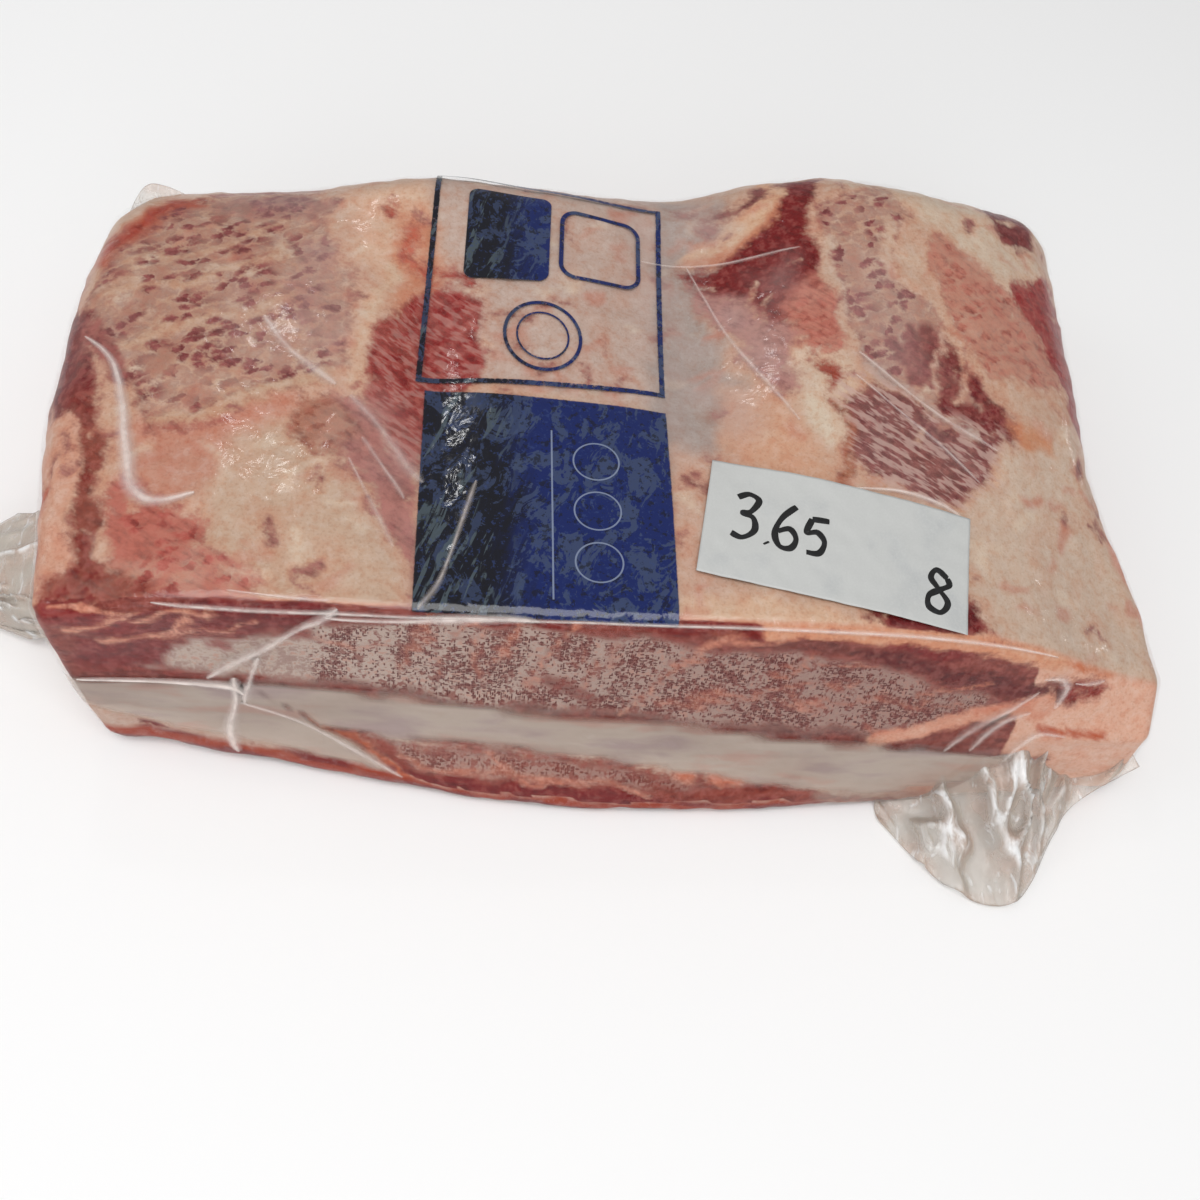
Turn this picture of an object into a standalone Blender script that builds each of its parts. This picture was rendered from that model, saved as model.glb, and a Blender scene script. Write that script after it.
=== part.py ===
"""A raw beef rib roast, vacuum packed in clear film, with a paper weight label on top.

The sealed pack is one solid: the block of meat with the film drawn tight on it, and the
loose film at three of the bag's corners. The label lies on the film as a thin sheet.
All lengths are in metres, +Z is up, and the origin is under the middle of the whole pack.
"""

import math

import bmesh
import bpy
from mathutils import Vector

# The block of meat, before it is warped to its real outline.
BLOCK_LENGTH = 0.3219
BLOCK_DEPTH = 0.1543
BLOCK_HEIGHT = 0.0667
EDGE_RADIUS_FRONT = 0.0048
EDGE_RADIUS_BACK = 0.0171
BLOCK_CELLS = (40, 22, 10)
GRID_CROWDING = math.radians(66)

# The cut front face leans out to a blunt ridge and from there out again to the foot,
# most at mid length and least at the left end.
RIDGE_HEIGHT_LEFT = 0.0410
RIDGE_HEIGHT_RIGHT = 0.0286
RIDGE_LEAN_LEFT = 0.0038
RIDGE_LEAN_RIGHT = 0.0152
FOOT_LEAN = 0.0352
FOOT_LEAN_LOST_LEFT = 0.0205
FOOT_LEAN_LOST_RIGHT = 0.0119
FOOT_TUCK = 0.0029
FOOT_TUCK_HEIGHT = 0.0095

# The back edge seen from above: shallow at the left, deepest near the right end.
BACK_EDGE_LEFT = 0.0724
BACK_EDGE_RIGHT = 0.0938
BACK_CORNER_CUT = 0.0114
BACK_BULGE = 0.0057

# The end walls seen from above, and how far the left one leans in towards the table.
LEFT_BACK_INSET = 0.0057
LEFT_FRONT_INSET = 0.0076
LEFT_FOOT_INSET = 0.0124
RIGHT_FRONT_BULGE = 0.0024
RIGHT_BACK_INSET = 0.0038
RIGHT_NOTCH = 0.0038

# The loose film at the bag's corners. The sheet is thicker than the film, to be a solid.
FILM_SHEET = 0.0012
FAN_CELLS = (22, 9)
TABLE_CLEARANCE = 0.0003

# The paper label: a 76 x 38 mm sticker.
LABEL_LENGTH = 0.0762
LABEL_WIDTH = 0.0381
LABEL_THICKNESS = 0.0004
LABEL_GAP = 0.0006
LABEL_CENTRE = (0.0571, -0.0500)
LABEL_TURN = math.radians(-11.7)
LABEL_CELLS = (20, 10)

# Swells and hollows of the top face: centre x and y, reach along x and y, and height.
TOP_FORMS = {
    "eye muscle swell": (-0.0953, 0.0191, 0.0476, 0.0438, 0.0048),
    "back left swell": (-0.0591, 0.0743, 0.0286, 0.0286, 0.0076),
    "hollow behind the eye": (-0.1381, 0.0705, 0.0286, 0.0248, -0.0029),
    "hollow beside the cap": (0.0191, 0.0524, 0.0248, 0.0476, -0.0081),
    "hollow at mid top": (0.0248, 0.0000, 0.0152, 0.0324, -0.0029),
    "cap muscle swell": (0.0762, 0.0610, 0.0419, 0.0495, 0.0076),
    "cap muscle front": (0.0591, 0.0095, 0.0229, 0.0286, 0.0024),
    "left seam hollow": (-0.0571, -0.0038, 0.0114, 0.0533, -0.0024),
    "left front swell": (-0.0953, -0.0495, 0.0438, 0.0248, 0.0019),
    "right end fall": (0.1676, 0.0381, 0.0324, 0.0571, -0.0133),
    "right front fall": (0.1638, -0.0686, 0.0457, 0.0552, -0.0248),
    "left front fall": (-0.1600, -0.0810, 0.0229, 0.0381, -0.0057),
}


def smooth(low, high, value):
    """0 at low, 1 at high, and an S curve between them."""
    share = min(max((value - low) / (high - low), 0.0), 1.0)
    return share * share * (3 - 2 * share)


def top_height(x, y):
    """Height of the pack's top face over the table."""
    height = BLOCK_HEIGHT
    for centre_x, centre_y, reach_x, reach_y, rise in TOP_FORMS.values():
        away = ((x - centre_x) / reach_x) ** 2 + ((y - centre_y) / reach_y) ** 2
        height += rise * math.exp(-away)
    return height


def front_lean(x, z):
    """How far the front face stands out from the top front edge at height z."""
    rightness = smooth(-0.1429, 0.0953, x)
    ridge = RIDGE_HEIGHT_LEFT + (RIDGE_HEIGHT_RIGHT - RIDGE_HEIGHT_LEFT) * rightness
    at_ridge = RIDGE_LEAN_LEFT + (RIDGE_LEAN_RIGHT - RIDGE_LEAN_LEFT) * rightness
    at_foot = (
        FOOT_LEAN
        - FOOT_LEAN_LOST_LEFT * smooth(0.0, -0.1572, x)
        - FOOT_LEAN_LOST_RIGHT * smooth(0.0191, 0.1810, x)
    )
    top = top_height(x, -BLOCK_DEPTH / 2)
    if z >= ridge:
        lean = at_ridge * (top - z) / (top - ridge)
    else:
        lean = at_ridge + (at_foot - at_ridge) * (ridge - z) / ridge
    return lean - FOOT_TUCK * (1 - smooth(0.0, FOOT_TUCK_HEIGHT, z))


def back_edge(x):
    """Distance of the back edge from the middle line, seen from above."""
    deep = smooth(-0.1238, 0.0810, x)
    cut = BACK_CORNER_CUT * (smooth(0.1048, 0.1610, x) + 0.5 * smooth(-0.1238, -0.1610, x))
    return BACK_EDGE_LEFT + (BACK_EDGE_RIGHT - BACK_EDGE_LEFT) * deep - cut


def rounded_block_point(point):
    """A point on the box's skin, moved onto a box whose edges are rounded."""
    backness = smooth(-BLOCK_DEPTH / 2, 0.0, point.y)
    radius = EDGE_RADIUS_FRONT + (EDGE_RADIUS_BACK - EDGE_RADIUS_FRONT) * backness
    half = (BLOCK_LENGTH / 2, BLOCK_DEPTH / 2, BLOCK_HEIGHT / 2)
    core = Vector(
        max(-(h - radius), min(h - radius, p)) for h, p in zip(half, point)
    )
    away = point - core
    return core + away.normalized() * radius if away.length > 0 else point


def warped(point):
    """A point of the rounded box, moved to the real outline of the pack."""
    x, y = point.x, point.y
    share = (point.z + BLOCK_HEIGHT / 2) / BLOCK_HEIGHT
    half_depth = BLOCK_DEPTH / 2
    z = share * top_height(x, y)
    waist = math.sin(math.pi * share)
    back = smooth(0.0, half_depth, y)
    front = smooth(0.0, -half_depth, y)
    left = smooth(-0.1048, -0.1610, x)
    right = smooth(0.1048, 0.1610, x)
    left_inset = (
        LEFT_BACK_INSET * smooth(0.0095, half_depth, y)
        + LEFT_FRONT_INSET * smooth(-0.0095, -half_depth, y)
        + LEFT_FOOT_INSET * (1 - share) ** 2
    )
    right_inset = (
        RIGHT_BACK_INSET * smooth(-0.0476, -0.0143, y)
        + RIGHT_NOTCH * math.exp(-(((y + 0.0076) / 0.0286) ** 2))
        - RIGHT_FRONT_BULGE * smooth(-0.0286, -0.0619, y)
    )
    return Vector(
        (
            x + left * left_inset - right * right_inset,
            y
            + back * (back_edge(x) - half_depth + BACK_BULGE * waist)
            - front * front_lean(x, z),
            z,
        )
    )


def block_grid(name):
    """A cube primitive cut into a grid, crowded towards its edges where the rounding is."""
    bpy.ops.mesh.primitive_cube_add(size=2)
    block = bpy.context.object
    block.name = name
    mesh = bmesh.new()
    mesh.from_mesh(block.data)
    for axis, cells in enumerate(BLOCK_CELLS):
        across = [
            edge
            for edge in mesh.edges
            if abs(edge.verts[0].co[axis] - edge.verts[1].co[axis]) > 1
        ]
        bmesh.ops.subdivide_edges(mesh, edges=across, cuts=cells - 1, use_grid_fill=True)
    half = (BLOCK_LENGTH / 2, BLOCK_DEPTH / 2, BLOCK_HEIGHT / 2)
    for vert in mesh.verts:
        crowded = [
            h * math.sin(p * GRID_CROWDING) / math.sin(GRID_CROWDING)
            for h, p in zip(half, vert.co)
        ]
        vert.co = warped(rounded_block_point(Vector(crowded)))
    mesh.to_mesh(block.data)
    mesh.free()
    return block


def along(route, share):
    """The point at a share of the way along a list of points, on a smooth curve."""
    place = share * (len(route) - 1)
    index = min(int(place), len(route) - 2)
    before = Vector(route[max(index - 1, 0)])
    start, end = Vector(route[index]), Vector(route[index + 1])
    after = Vector(route[min(index + 2, len(route) - 1)])
    t = place - index
    return 0.5 * (
        2 * start
        + (end - before) * t
        + (2 * before - 5 * start + 4 * end - after) * t * t
        + (3 * start - before - 3 * end + after) * t * t * t
    )


def film_fan(name, root, rim, pleats, pleat_height, droop):
    """A loose corner of the bag: a thin pleated sheet from its root in the pack to its rim."""
    across, out = FAN_CELLS
    bpy.ops.mesh.primitive_grid_add(x_subdivisions=across, y_subdivisions=out, size=2)
    fan = bpy.context.object
    fan.name = name
    for vert in fan.data.vertices:
        side, reach = (vert.co.x + 1) / 2, (vert.co.y + 1) / 2
        point = along(root, side).lerp(along(rim, side), reach)
        wave = math.sin(side * pleats * math.tau) * pleat_height * math.sin(reach * math.pi)
        sag = -droop * math.sin(reach * math.pi)
        point.z = max(point.z + wave + sag, FILM_SHEET / 2 + TABLE_CLEARANCE)
        vert.co = point
    sheet = fan.modifiers.new("Film thickness", "SOLIDIFY")
    sheet.thickness = FILM_SHEET
    sheet.offset = 0
    fan.modifiers.new("Flat facets", "TRIANGULATE")
    return fan


def material(name, colour, roughness):
    """A plain finish in the part's own colour."""
    finish = bpy.data.materials.new(name)
    finish.use_nodes = True
    shader = finish.node_tree.nodes["Principled BSDF"]
    shader.inputs["Base Color"].default_value = (*colour, 1)
    shader.inputs["Roughness"].default_value = roughness
    return finish


def baked(source, name):
    """The object as a plain mesh, with its modifiers worked in. The source is removed."""
    graph = bpy.context.evaluated_depsgraph_get()
    mesh = bpy.data.meshes.new_from_object(source.evaluated_get(graph))
    made = bpy.data.objects.new(name, mesh)
    bpy.context.scene.collection.objects.link(made)
    bpy.data.objects.remove(source)
    return made


def move_to(collection, obj):
    for holder in list(obj.users_collection):
        holder.objects.unlink(obj)
    collection.objects.link(obj)


def make_pack():
    """The sealed pack: the block and the bag's loose corners, joined into one solid."""
    pack = block_grid("sealed_roast")
    loose = bpy.data.collections.new("Loose film corners")
    bpy.context.scene.collection.children.link(loose)
    corners = [
        film_fan(
            "right front tail",
            root=[
                (0.0819, -0.0895, 0.0057),
                (0.1029, -0.0819, 0.0191),
                (0.1238, -0.0743, 0.0324),
                (0.1429, -0.0705, 0.0324),
                (0.1524, -0.0667, 0.0286),
            ],
            rim=[
                (0.0838, -0.1086, 0.0019),
                (0.1029, -0.1295, 0.0019),
                (0.1238, -0.1334, 0.0019),
                (0.1438, -0.1067, 0.0057),
                (0.1648, -0.0953, 0.0171),
            ],
            pleats=3.5,
            pleat_height=0.0029,
            droop=0.0019,
        ),
        film_fan(
            "left front ear",
            root=[
                (-0.1505, -0.0286, 0.0286),
                (-0.1495, -0.0457, 0.0324),
                (-0.1448, -0.0667, 0.0343),
                (-0.1429, -0.0629, 0.0210),
            ],
            rim=[
                (-0.1791, -0.0191, 0.0095),
                (-0.1953, -0.0324, 0.0057),
                (-0.1934, -0.0476, 0.0038),
                (-0.1695, -0.0591, 0.0057),
            ],
            pleats=1.5,
            pleat_height=0.0029,
            droop=0.0,
        ),
        film_fan(
            "back left corner",
            root=[
                (-0.1391, 0.0438, 0.0552),
                (-0.1391, 0.0552, 0.0476),
                (-0.1314, 0.0610, 0.0419),
            ],
            rim=[
                (-0.1476, 0.0600, 0.0610),
                (-0.1459, 0.0725, 0.0570),
                (-0.1341, 0.0753, 0.0495),
            ],
            pleats=0.5,
            pleat_height=0.0010,
            droop=0.0,
        ),
        film_fan(
            "back right ear",
            root=[
                (0.1429, 0.0571, 0.0110),
                (0.1391, 0.0705, 0.0120),
                (0.1257, 0.0819, 0.0110),
            ],
            rim=[
                (0.1581, 0.0819, 0.0030),
                (0.1524, 0.0991, 0.0020),
                (0.1314, 0.1029, 0.0030),
            ],
            pleats=1.5,
            pleat_height=0.0010,
            droop=0.0,
        ),
    ]
    for corner in corners:
        move_to(loose, baked(corner, corner.name))
    pack.modifiers.new("Flat facets", "TRIANGULATE")
    join = pack.modifiers.new("Join the loose film", "BOOLEAN")
    join.operation = "UNION"
    join.operand_type = "COLLECTION"
    join.collection = loose
    join.solver = "EXACT"
    joined = baked(pack, "sealed_roast_solid")
    joined.name = "sealed_roast"
    for corner in list(loose.objects):
        bpy.data.objects.remove(corner)
    bpy.data.collections.remove(loose)
    joined.data.materials.clear()
    joined.data.materials.append(material("film over raw beef", (0.60, 0.30, 0.23), 0.3))
    return joined


def make_label():
    """The paper label, laid on the top face and following it."""
    bpy.ops.mesh.primitive_grid_add(
        x_subdivisions=LABEL_CELLS[0], y_subdivisions=LABEL_CELLS[1], size=2
    )
    label = bpy.context.object
    label.name = "weight_label"
    turn_x, turn_y = math.cos(LABEL_TURN), math.sin(LABEL_TURN)
    for vert in label.data.vertices:
        along_x, along_y = vert.co.x * LABEL_LENGTH / 2, vert.co.y * LABEL_WIDTH / 2
        x = LABEL_CENTRE[0] + along_x * turn_x - along_y * turn_y
        y = LABEL_CENTRE[1] + along_x * turn_y + along_y * turn_x
        vert.co = (x, y, top_height(x, y) + LABEL_GAP)
    sheet = label.modifiers.new("Paper thickness", "SOLIDIFY")
    sheet.thickness = LABEL_THICKNESS
    sheet.offset = 1
    label.data.materials.append(material("white paper", (0.80, 0.79, 0.76), 0.7))
    return label


def put_origin_under_the_middle(pieces):
    """Shift the pieces so that the whole pack is centred on the origin and stands on z = 0."""
    points = [vert.co for piece in pieces for vert in piece.data.vertices]
    low = Vector(min(point[axis] for point in points) for axis in range(3))
    high = Vector(max(point[axis] for point in points) for axis in range(3))
    shift = Vector((-(low.x + high.x) / 2, -(low.y + high.y) / 2, -low.z))
    for point in points:
        point += shift


def main():
    for obj in list(bpy.data.objects):
        bpy.data.objects.remove(obj)
    collection = bpy.data.collections.new("Vacuum packed rib roast")
    bpy.context.scene.collection.children.link(collection)
    pieces = (make_pack(), make_label())
    put_origin_under_the_middle(pieces)
    for piece in pieces:
        move_to(collection, piece)


main()
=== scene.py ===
"""A raw beef rib roast, vacuum packed in clear film, with a paper weight label on top."""

import math

import bmesh
import bpy
import numpy as np
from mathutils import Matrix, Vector
from mathutils.bvhtree import BVHTree


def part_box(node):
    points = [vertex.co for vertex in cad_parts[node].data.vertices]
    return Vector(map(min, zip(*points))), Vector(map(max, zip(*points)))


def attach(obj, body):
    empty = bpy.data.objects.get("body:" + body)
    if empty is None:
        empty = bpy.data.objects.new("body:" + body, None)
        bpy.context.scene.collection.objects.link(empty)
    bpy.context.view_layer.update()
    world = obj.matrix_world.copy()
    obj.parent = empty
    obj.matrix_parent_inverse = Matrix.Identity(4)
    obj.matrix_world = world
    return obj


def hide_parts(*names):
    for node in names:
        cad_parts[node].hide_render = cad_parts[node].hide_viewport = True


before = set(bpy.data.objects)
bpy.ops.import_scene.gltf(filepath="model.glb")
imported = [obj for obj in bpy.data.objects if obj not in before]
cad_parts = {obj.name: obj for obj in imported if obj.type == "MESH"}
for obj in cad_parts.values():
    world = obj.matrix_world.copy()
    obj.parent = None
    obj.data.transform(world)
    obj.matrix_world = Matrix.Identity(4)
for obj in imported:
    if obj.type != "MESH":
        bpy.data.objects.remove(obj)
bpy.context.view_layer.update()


# The block of meat
# A boneless rib roast: a long block of beef, cut flat at the front, with its muscles,
# seams of fat and marbling showing on the top. All lengths here are in millimetres, from
# the middle of the block, and PLACE moves them to where the CAD model has the pack.

BLOCK_LENGTH, BLOCK_DEPTH, BLOCK_HEIGHT = 321.9, 154.3, 66.7
EDGE_RADIUS_FRONT, EDGE_RADIUS_BACK = 4.8, 17.1
MEAT_CELLS = (220, 132, 54)
# The cells crowd towards the block's edges, where it bends most, as far as this angle says.
GRID_CROWDING = math.radians(66)
# How far the meat lies inside the skin of the pack, and how much deeper where the film
# bridges a hollow.
FILM_GAP, BRIDGED_GAP = 0.95, 1.0
LABEL_MIDDLE = (57.1, -50.0)

label_low, label_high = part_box("weight_label")
PLACE = np.array(
    [
        (label_low[0] + label_high[0]) * 500 - LABEL_MIDDLE[0],
        (label_low[1] + label_high[1]) * 500 - LABEL_MIDDLE[1],
        0.0,
    ]
)

# Swells and hollows of the top face: centre x and y, reach along x and y, and height.
TOP_FORMS = {
    "eye muscle swell": (-95.3, 19.1, 47.6, 43.8, 4.8),
    "back left swell": (-59.1, 74.3, 28.6, 28.6, 7.6),
    "hollow behind the eye": (-138.1, 70.5, 28.6, 24.8, -2.9),
    "hollow beside the cap": (19.1, 52.4, 24.8, 47.6, -8.1),
    "hollow at mid top": (24.8, 0.0, 15.2, 32.4, -2.9),
    "cap muscle swell": (76.2, 61.0, 41.9, 49.5, 7.6),
    "cap muscle front": (59.1, 9.5, 22.9, 28.6, 2.4),
    "left seam hollow": (-57.1, -3.8, 11.4, 53.3, -2.4),
    "left front swell": (-95.3, -49.5, 43.8, 24.8, 1.9),
    "right end fall": (167.6, 38.1, 32.4, 57.1, -13.3),
    "right front fall": (163.8, -68.6, 45.7, 55.2, -24.8),
    "left front fall": (-160.0, -81.0, 22.9, 38.1, -5.7),
}


def ease(low, high, value):
    """0 at low, 1 at high, and an S curve between them."""
    share = np.clip((value - low) / (high - low), 0.0, 1.0)
    return share * share * (3 - 2 * share)


def top_height(x, y):
    height = BLOCK_HEIGHT + 0.0 * x
    for middle_x, middle_y, reach_x, reach_y, rise in TOP_FORMS.values():
        away = ((x - middle_x) / reach_x) ** 2 + ((y - middle_y) / reach_y) ** 2
        height = height + rise * np.exp(-away)
    return height


def front_lean(x, z):
    """How far the cut front face stands out from the top front edge at height z."""
    rightness = ease(-142.9, 95.3, x)
    ridge = 41.0 - 12.4 * rightness
    at_ridge = 3.8 + 11.4 * rightness
    at_foot = 35.2 - 20.5 * ease(0.0, -157.2, x) - 11.9 * ease(19.1, 181.0, x)
    top = top_height(x, -BLOCK_DEPTH / 2)
    above = at_ridge * (top - z) / (top - ridge)
    below = at_ridge + (at_foot - at_ridge) * (ridge - z) / ridge
    return np.where(z >= ridge, above, below) - 2.9 * (1 - ease(0.0, 9.5, z))


def back_edge(x):
    """Distance of the back edge from the middle line, seen from above."""
    cut = 5.7 * ease(-123.8, -161.0, x) - 1.5 * ease(112.0, 150.0, x)
    return 72.4 + 21.4 * ease(-123.8, 81.0, x) - cut


def block_skin(cube):
    """Points of a cube 2 across, moved onto the rounded and leaning skin of the pack."""
    half = np.array([BLOCK_LENGTH, BLOCK_DEPTH, BLOCK_HEIGHT]) / 2
    point = half * np.sin(cube * GRID_CROWDING) / math.sin(GRID_CROWDING)
    backness = ease(-half[1], 0.0, point[:, 1])
    radius = EDGE_RADIUS_FRONT + (EDGE_RADIUS_BACK - EDGE_RADIUS_FRONT) * backness
    core = np.clip(point, radius[:, None] - half, half - radius[:, None])
    away = point - core
    length = np.linalg.norm(away, axis=1, keepdims=True)
    point = core + away / np.maximum(length, 1e-9) * radius[:, None] * (length > 0)
    x, y = point[:, 0], point[:, 1]
    share = (point[:, 2] + half[2]) / BLOCK_HEIGHT
    z = share * top_height(x, y)
    left_inset = (
        5.7 * ease(9.5, half[1], y) + 7.6 * ease(-9.5, -half[1], y) + 12.4 * (1 - share) ** 2
    )
    right_inset = (
        2.0 * ease(-47.6, -14.3, y)
        + 3.8 * np.exp(-(((y + 7.6) / 28.6) ** 2))
        - 2.4 * ease(-28.6, -61.9, y)
    )
    bulge = back_edge(x) - half[1] + 5.7 * np.sin(math.pi * share)
    return np.stack(
        [
            x + ease(-104.8, -161.0, x) * left_inset - ease(104.8, 161.0, x) * right_inset,
            y + ease(0.0, half[1], y) * bulge - ease(0.0, -half[1], y) * front_lean(x, z),
            z,
        ],
        axis=1,
    )


def cut_block(name, cuts):
    """A cube primitive cut across each axis, bent to the pack's skin."""
    bpy.ops.object.select_all(action="DESELECT")
    bpy.ops.mesh.primitive_cube_add(size=2)
    block = bpy.context.object
    block.name = name
    mesh = bmesh.new()
    mesh.from_mesh(block.data)
    for axis, cells in enumerate(cuts):
        across = [
            edge
            for edge in mesh.edges
            if abs(edge.verts[0].co[axis] - edge.verts[1].co[axis]) > 1
        ]
        bmesh.ops.subdivide_edges(mesh, edges=across, cuts=cells - 1, use_grid_fill=True)
    mesh.to_mesh(block.data)
    mesh.free()
    cube = read_points(block)
    write_points(block, block_skin(cube))
    return block


def read_points(piece, field="co"):
    flat = np.empty(len(piece.data.vertices) * 3, dtype=np.float32)
    piece.data.vertices.foreach_get(field, flat)
    return flat.reshape(-1, 3).astype(float)


def write_points(piece, points):
    piece.data.vertices.foreach_set("co", points.astype(np.float32).ravel())
    piece.data.update()


def settle(piece):
    """Bring a piece from millimetres round the block to its place in the model, in metres."""
    write_points(piece, (read_points(piece) + PLACE) / 1000)
    for face in piece.data.polygons:
        face.use_smooth = True
    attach(piece, "root")


def ripples(points, wavelength, seed, waves=18):
    """A smooth random field of about -1 to 1, with swells of about the wavelength."""
    chance = np.random.default_rng(seed)
    total = np.zeros(len(points))
    for _ in range(waves):
        heading = chance.normal(size=3)
        heading *= 2 * math.pi / (np.linalg.norm(heading) * wavelength)
        heading *= chance.uniform(0.7, 1.4)
        total += np.cos(points @ heading + chance.uniform(0, 2 * math.pi))
    return total / math.sqrt(waves)


def distance_from(flat, corners):
    """Distance of flat points from the nearest of the lines that join the corners."""
    nearest = np.full(len(flat), 1e9)
    for start, end in zip(corners[:-1], corners[1:]):
        side = end - start
        away = flat - start
        share = np.clip(away @ side / max(side @ side, 1e-9), 0, 1)
        nearest = np.minimum(nearest, np.linalg.norm(away - share[:, None] * side, axis=1))
    return nearest


def depth_in(flat, outline):
    """How deep flat points lie inside a closed outline: negative outside it."""
    corners = np.array([*outline, outline[0]], dtype=float)
    inside = np.zeros(len(flat), dtype=bool)
    for start, end in zip(corners[:-1], corners[1:]):
        crosses = (start[1] > flat[:, 1]) != (end[1] > flat[:, 1])
        run, rise = end - start
        rise = rise if rise != 0 else 1e-9
        inside ^= crosses & (flat[:, 0] < start[0] + (flat[:, 1] - start[1]) * run / rise)
    nearest = distance_from(flat, corners)
    return np.where(inside, nearest, -nearest)


def depth_by(flat, line, radius):
    """How deep flat points lie in a band along a line: negative beside it."""
    return radius - distance_from(flat, np.array(line, dtype=float))


# The film's gloss adds this much light, and the lamps show a white as this bright.
GLOSS_LIFT, LAMP_GAIN = 0.015, 0.88


def tone(red, green, blue):
    """The linear colour of a finish, from the colour that it shows under the lamps."""
    shown = np.array([red, green, blue]) / 255
    linear = np.where(shown > 0.04045, ((shown + 0.055) / 1.055) ** 2.4, shown / 12.92)
    return np.clip((linear - GLOSS_LIFT) / LAMP_GAIN, 0.002, 0.95)


# The muscles that show on the top: each outline from above, the colour of the lean, and how
# much of a fat network runs through it.
TOP_MUSCLES = {
    "eye muscle": (
        [(-148, 38), (-142, 47), (-128, 60), (-110, 64), (-92, 62), (-89, 47), (-83, 35),
         (-79, 27), (-81, 11), (-80, -2), (-85, -6), (-96, -12), (-107, -14), (-114, -16),
         (-123, -21), (-130, -24), (-135, -16), (-139, -6), (-145, -1), (-151, 11), (-151, 26)],
        (128, 70, 68), 1.0,
    ),
    "eye blotch back": ([(-126, 56), (-112, 64), (-96, 64), (-84, 60), (-92, 52), (-108, 52)],
                        (124, 74, 74), 0.55),
    "eye blotch right": ([(-98, 34), (-90, 46), (-84, 40), (-81, 20), (-84, 2), (-94, 10)],
                         (138, 92, 88), 0.75),
    "low left granular": (
        [(-131, -56), (-118, -60), (-106, -62), (-96, -70), (-104, -77), (-128, -75),
         (-135, -66)],
        (170, 96, 86), 0.6,
    ),
    "lower left patch": (
        [(-137, -45), (-131, -42), (-123, -48), (-113, -52), (-112, -59), (-120, -63),
         (-126, -65), (-132, -62), (-137, -57)],
        (164, 84, 74), 0.3,
    ),
    "front left corner": (
        [(-150, -68), (-140, -64), (-127, -70), (-118, -74), (-126, -78), (-150, -78)],
        (122, 46, 40), 0.25,
    ),
    "streaked muscle": (
        [(-75, 3), (-72, 13), (-65, 18), (-60, 26), (-55, 31), (-44, 28), (-41, 8), (-45, -5),
         (-52, -8), (-56, -23), (-57, -34), (-63, -30), (-67, -24), (-71, -16), (-75, -8)],
        (140, 50, 48), 0.12,
    ),
    "muscle under the folds": (
        [(-83, -12), (-72, -13), (-66, -25), (-58, -33), (-57, -73), (-61, -62), (-67, -50),
         (-71, -38), (-80, -27)],
        (152, 92, 86), 0.15,
    ),
    "tan patch": (
        [(-93, -14), (-82, -12), (-77, -23), (-81, -31), (-87, -29), (-92, -23)],
        (146, 88, 70), 0.45,
    ),
    "cap point": (
        [(55, 90), (67, 87), (61, 71), (58, 63), (60, 55), (64, 50), (62, 44), (59, 36),
         (53, 25), (47, 25), (43, 34), (36, 37), (24, 44), (22, 49), (36, 55), (46, 63),
         (51, 70)],
        (112, 30, 32), 0.0,
    ),
    "cap flank": (
        [(22, 46), (30, 42), (39, 37), (47, 27), (52, 22), (49, 12), (50, 2), (45, 0),
         (40, 8), (33, 20), (27, 33)],
        (160, 112, 106), 0.2,
    ),
    "cap flesh": (
        [(53, 38), (62, 44), (65, 33), (67, 23), (65, 15), (57, 15), (51, 22)],
        (172, 104, 90), 0.25,
    ),
    "spot in the fat": (
        [(54, 12), (61, 12), (64, 8), (62, 3), (60, 0), (58, 6)], (138, 62, 48), 0.0,
    ),
    "cap muscle": (
        [(64, 72), (76, 80), (88, 83), (95, 74), (88, 61), (85, 51), (90, 44), (97, 39),
         (102, 30), (99, 23), (103, 18), (102, 8), (107, 12), (112, 10), (119, 1), (118, -7),
         (110, -12), (101, -11), (88, -5), (80, 4), (75, 9), (70, 14), (69, 26), (68, 40),
         (64, 51), (63, 61)],
        (130, 72, 72), 0.95,
    ),
    "cap foot": (
        [(65, -1), (76, 4), (88, -4), (101, -10), (115, -11), (107, -23), (98, -32),
         (88, -33), (78, -28), (69, -26), (64, -16)],
        (116, 58, 58), 0.1,
    ),
    "pink band": (
        [(102, 66), (109, 64), (120, 55), (131, 48), (136, 39), (142, 25), (143, 16),
         (130, 14), (117, 14), (110, 21), (105, 30), (102, 44), (99, 55)],
        (172, 108, 92), 0.55,
    ),
    "dark corner spot": (
        [(128, 92), (140, 94), (148, 84), (145, 75), (138, 70), (132, 73), (129, 80)],
        (108, 28, 20), 0.0,
    ),
    "right edge lean": (
        [(131, 52), (149, 66), (170, 46), (170, 24), (168, 0), (150, 2), (144, 22),
         (137, 38)],
        (138, 30, 26), 0.1,
    ),
    "lean under the label": (
        [(62, -60), (76, -56), (92, -64), (102, -74), (94, -80), (81, -81), (68, -79),
         (62, -72)],
        (104, 34, 36), 0.0,
    ),
}

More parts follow.
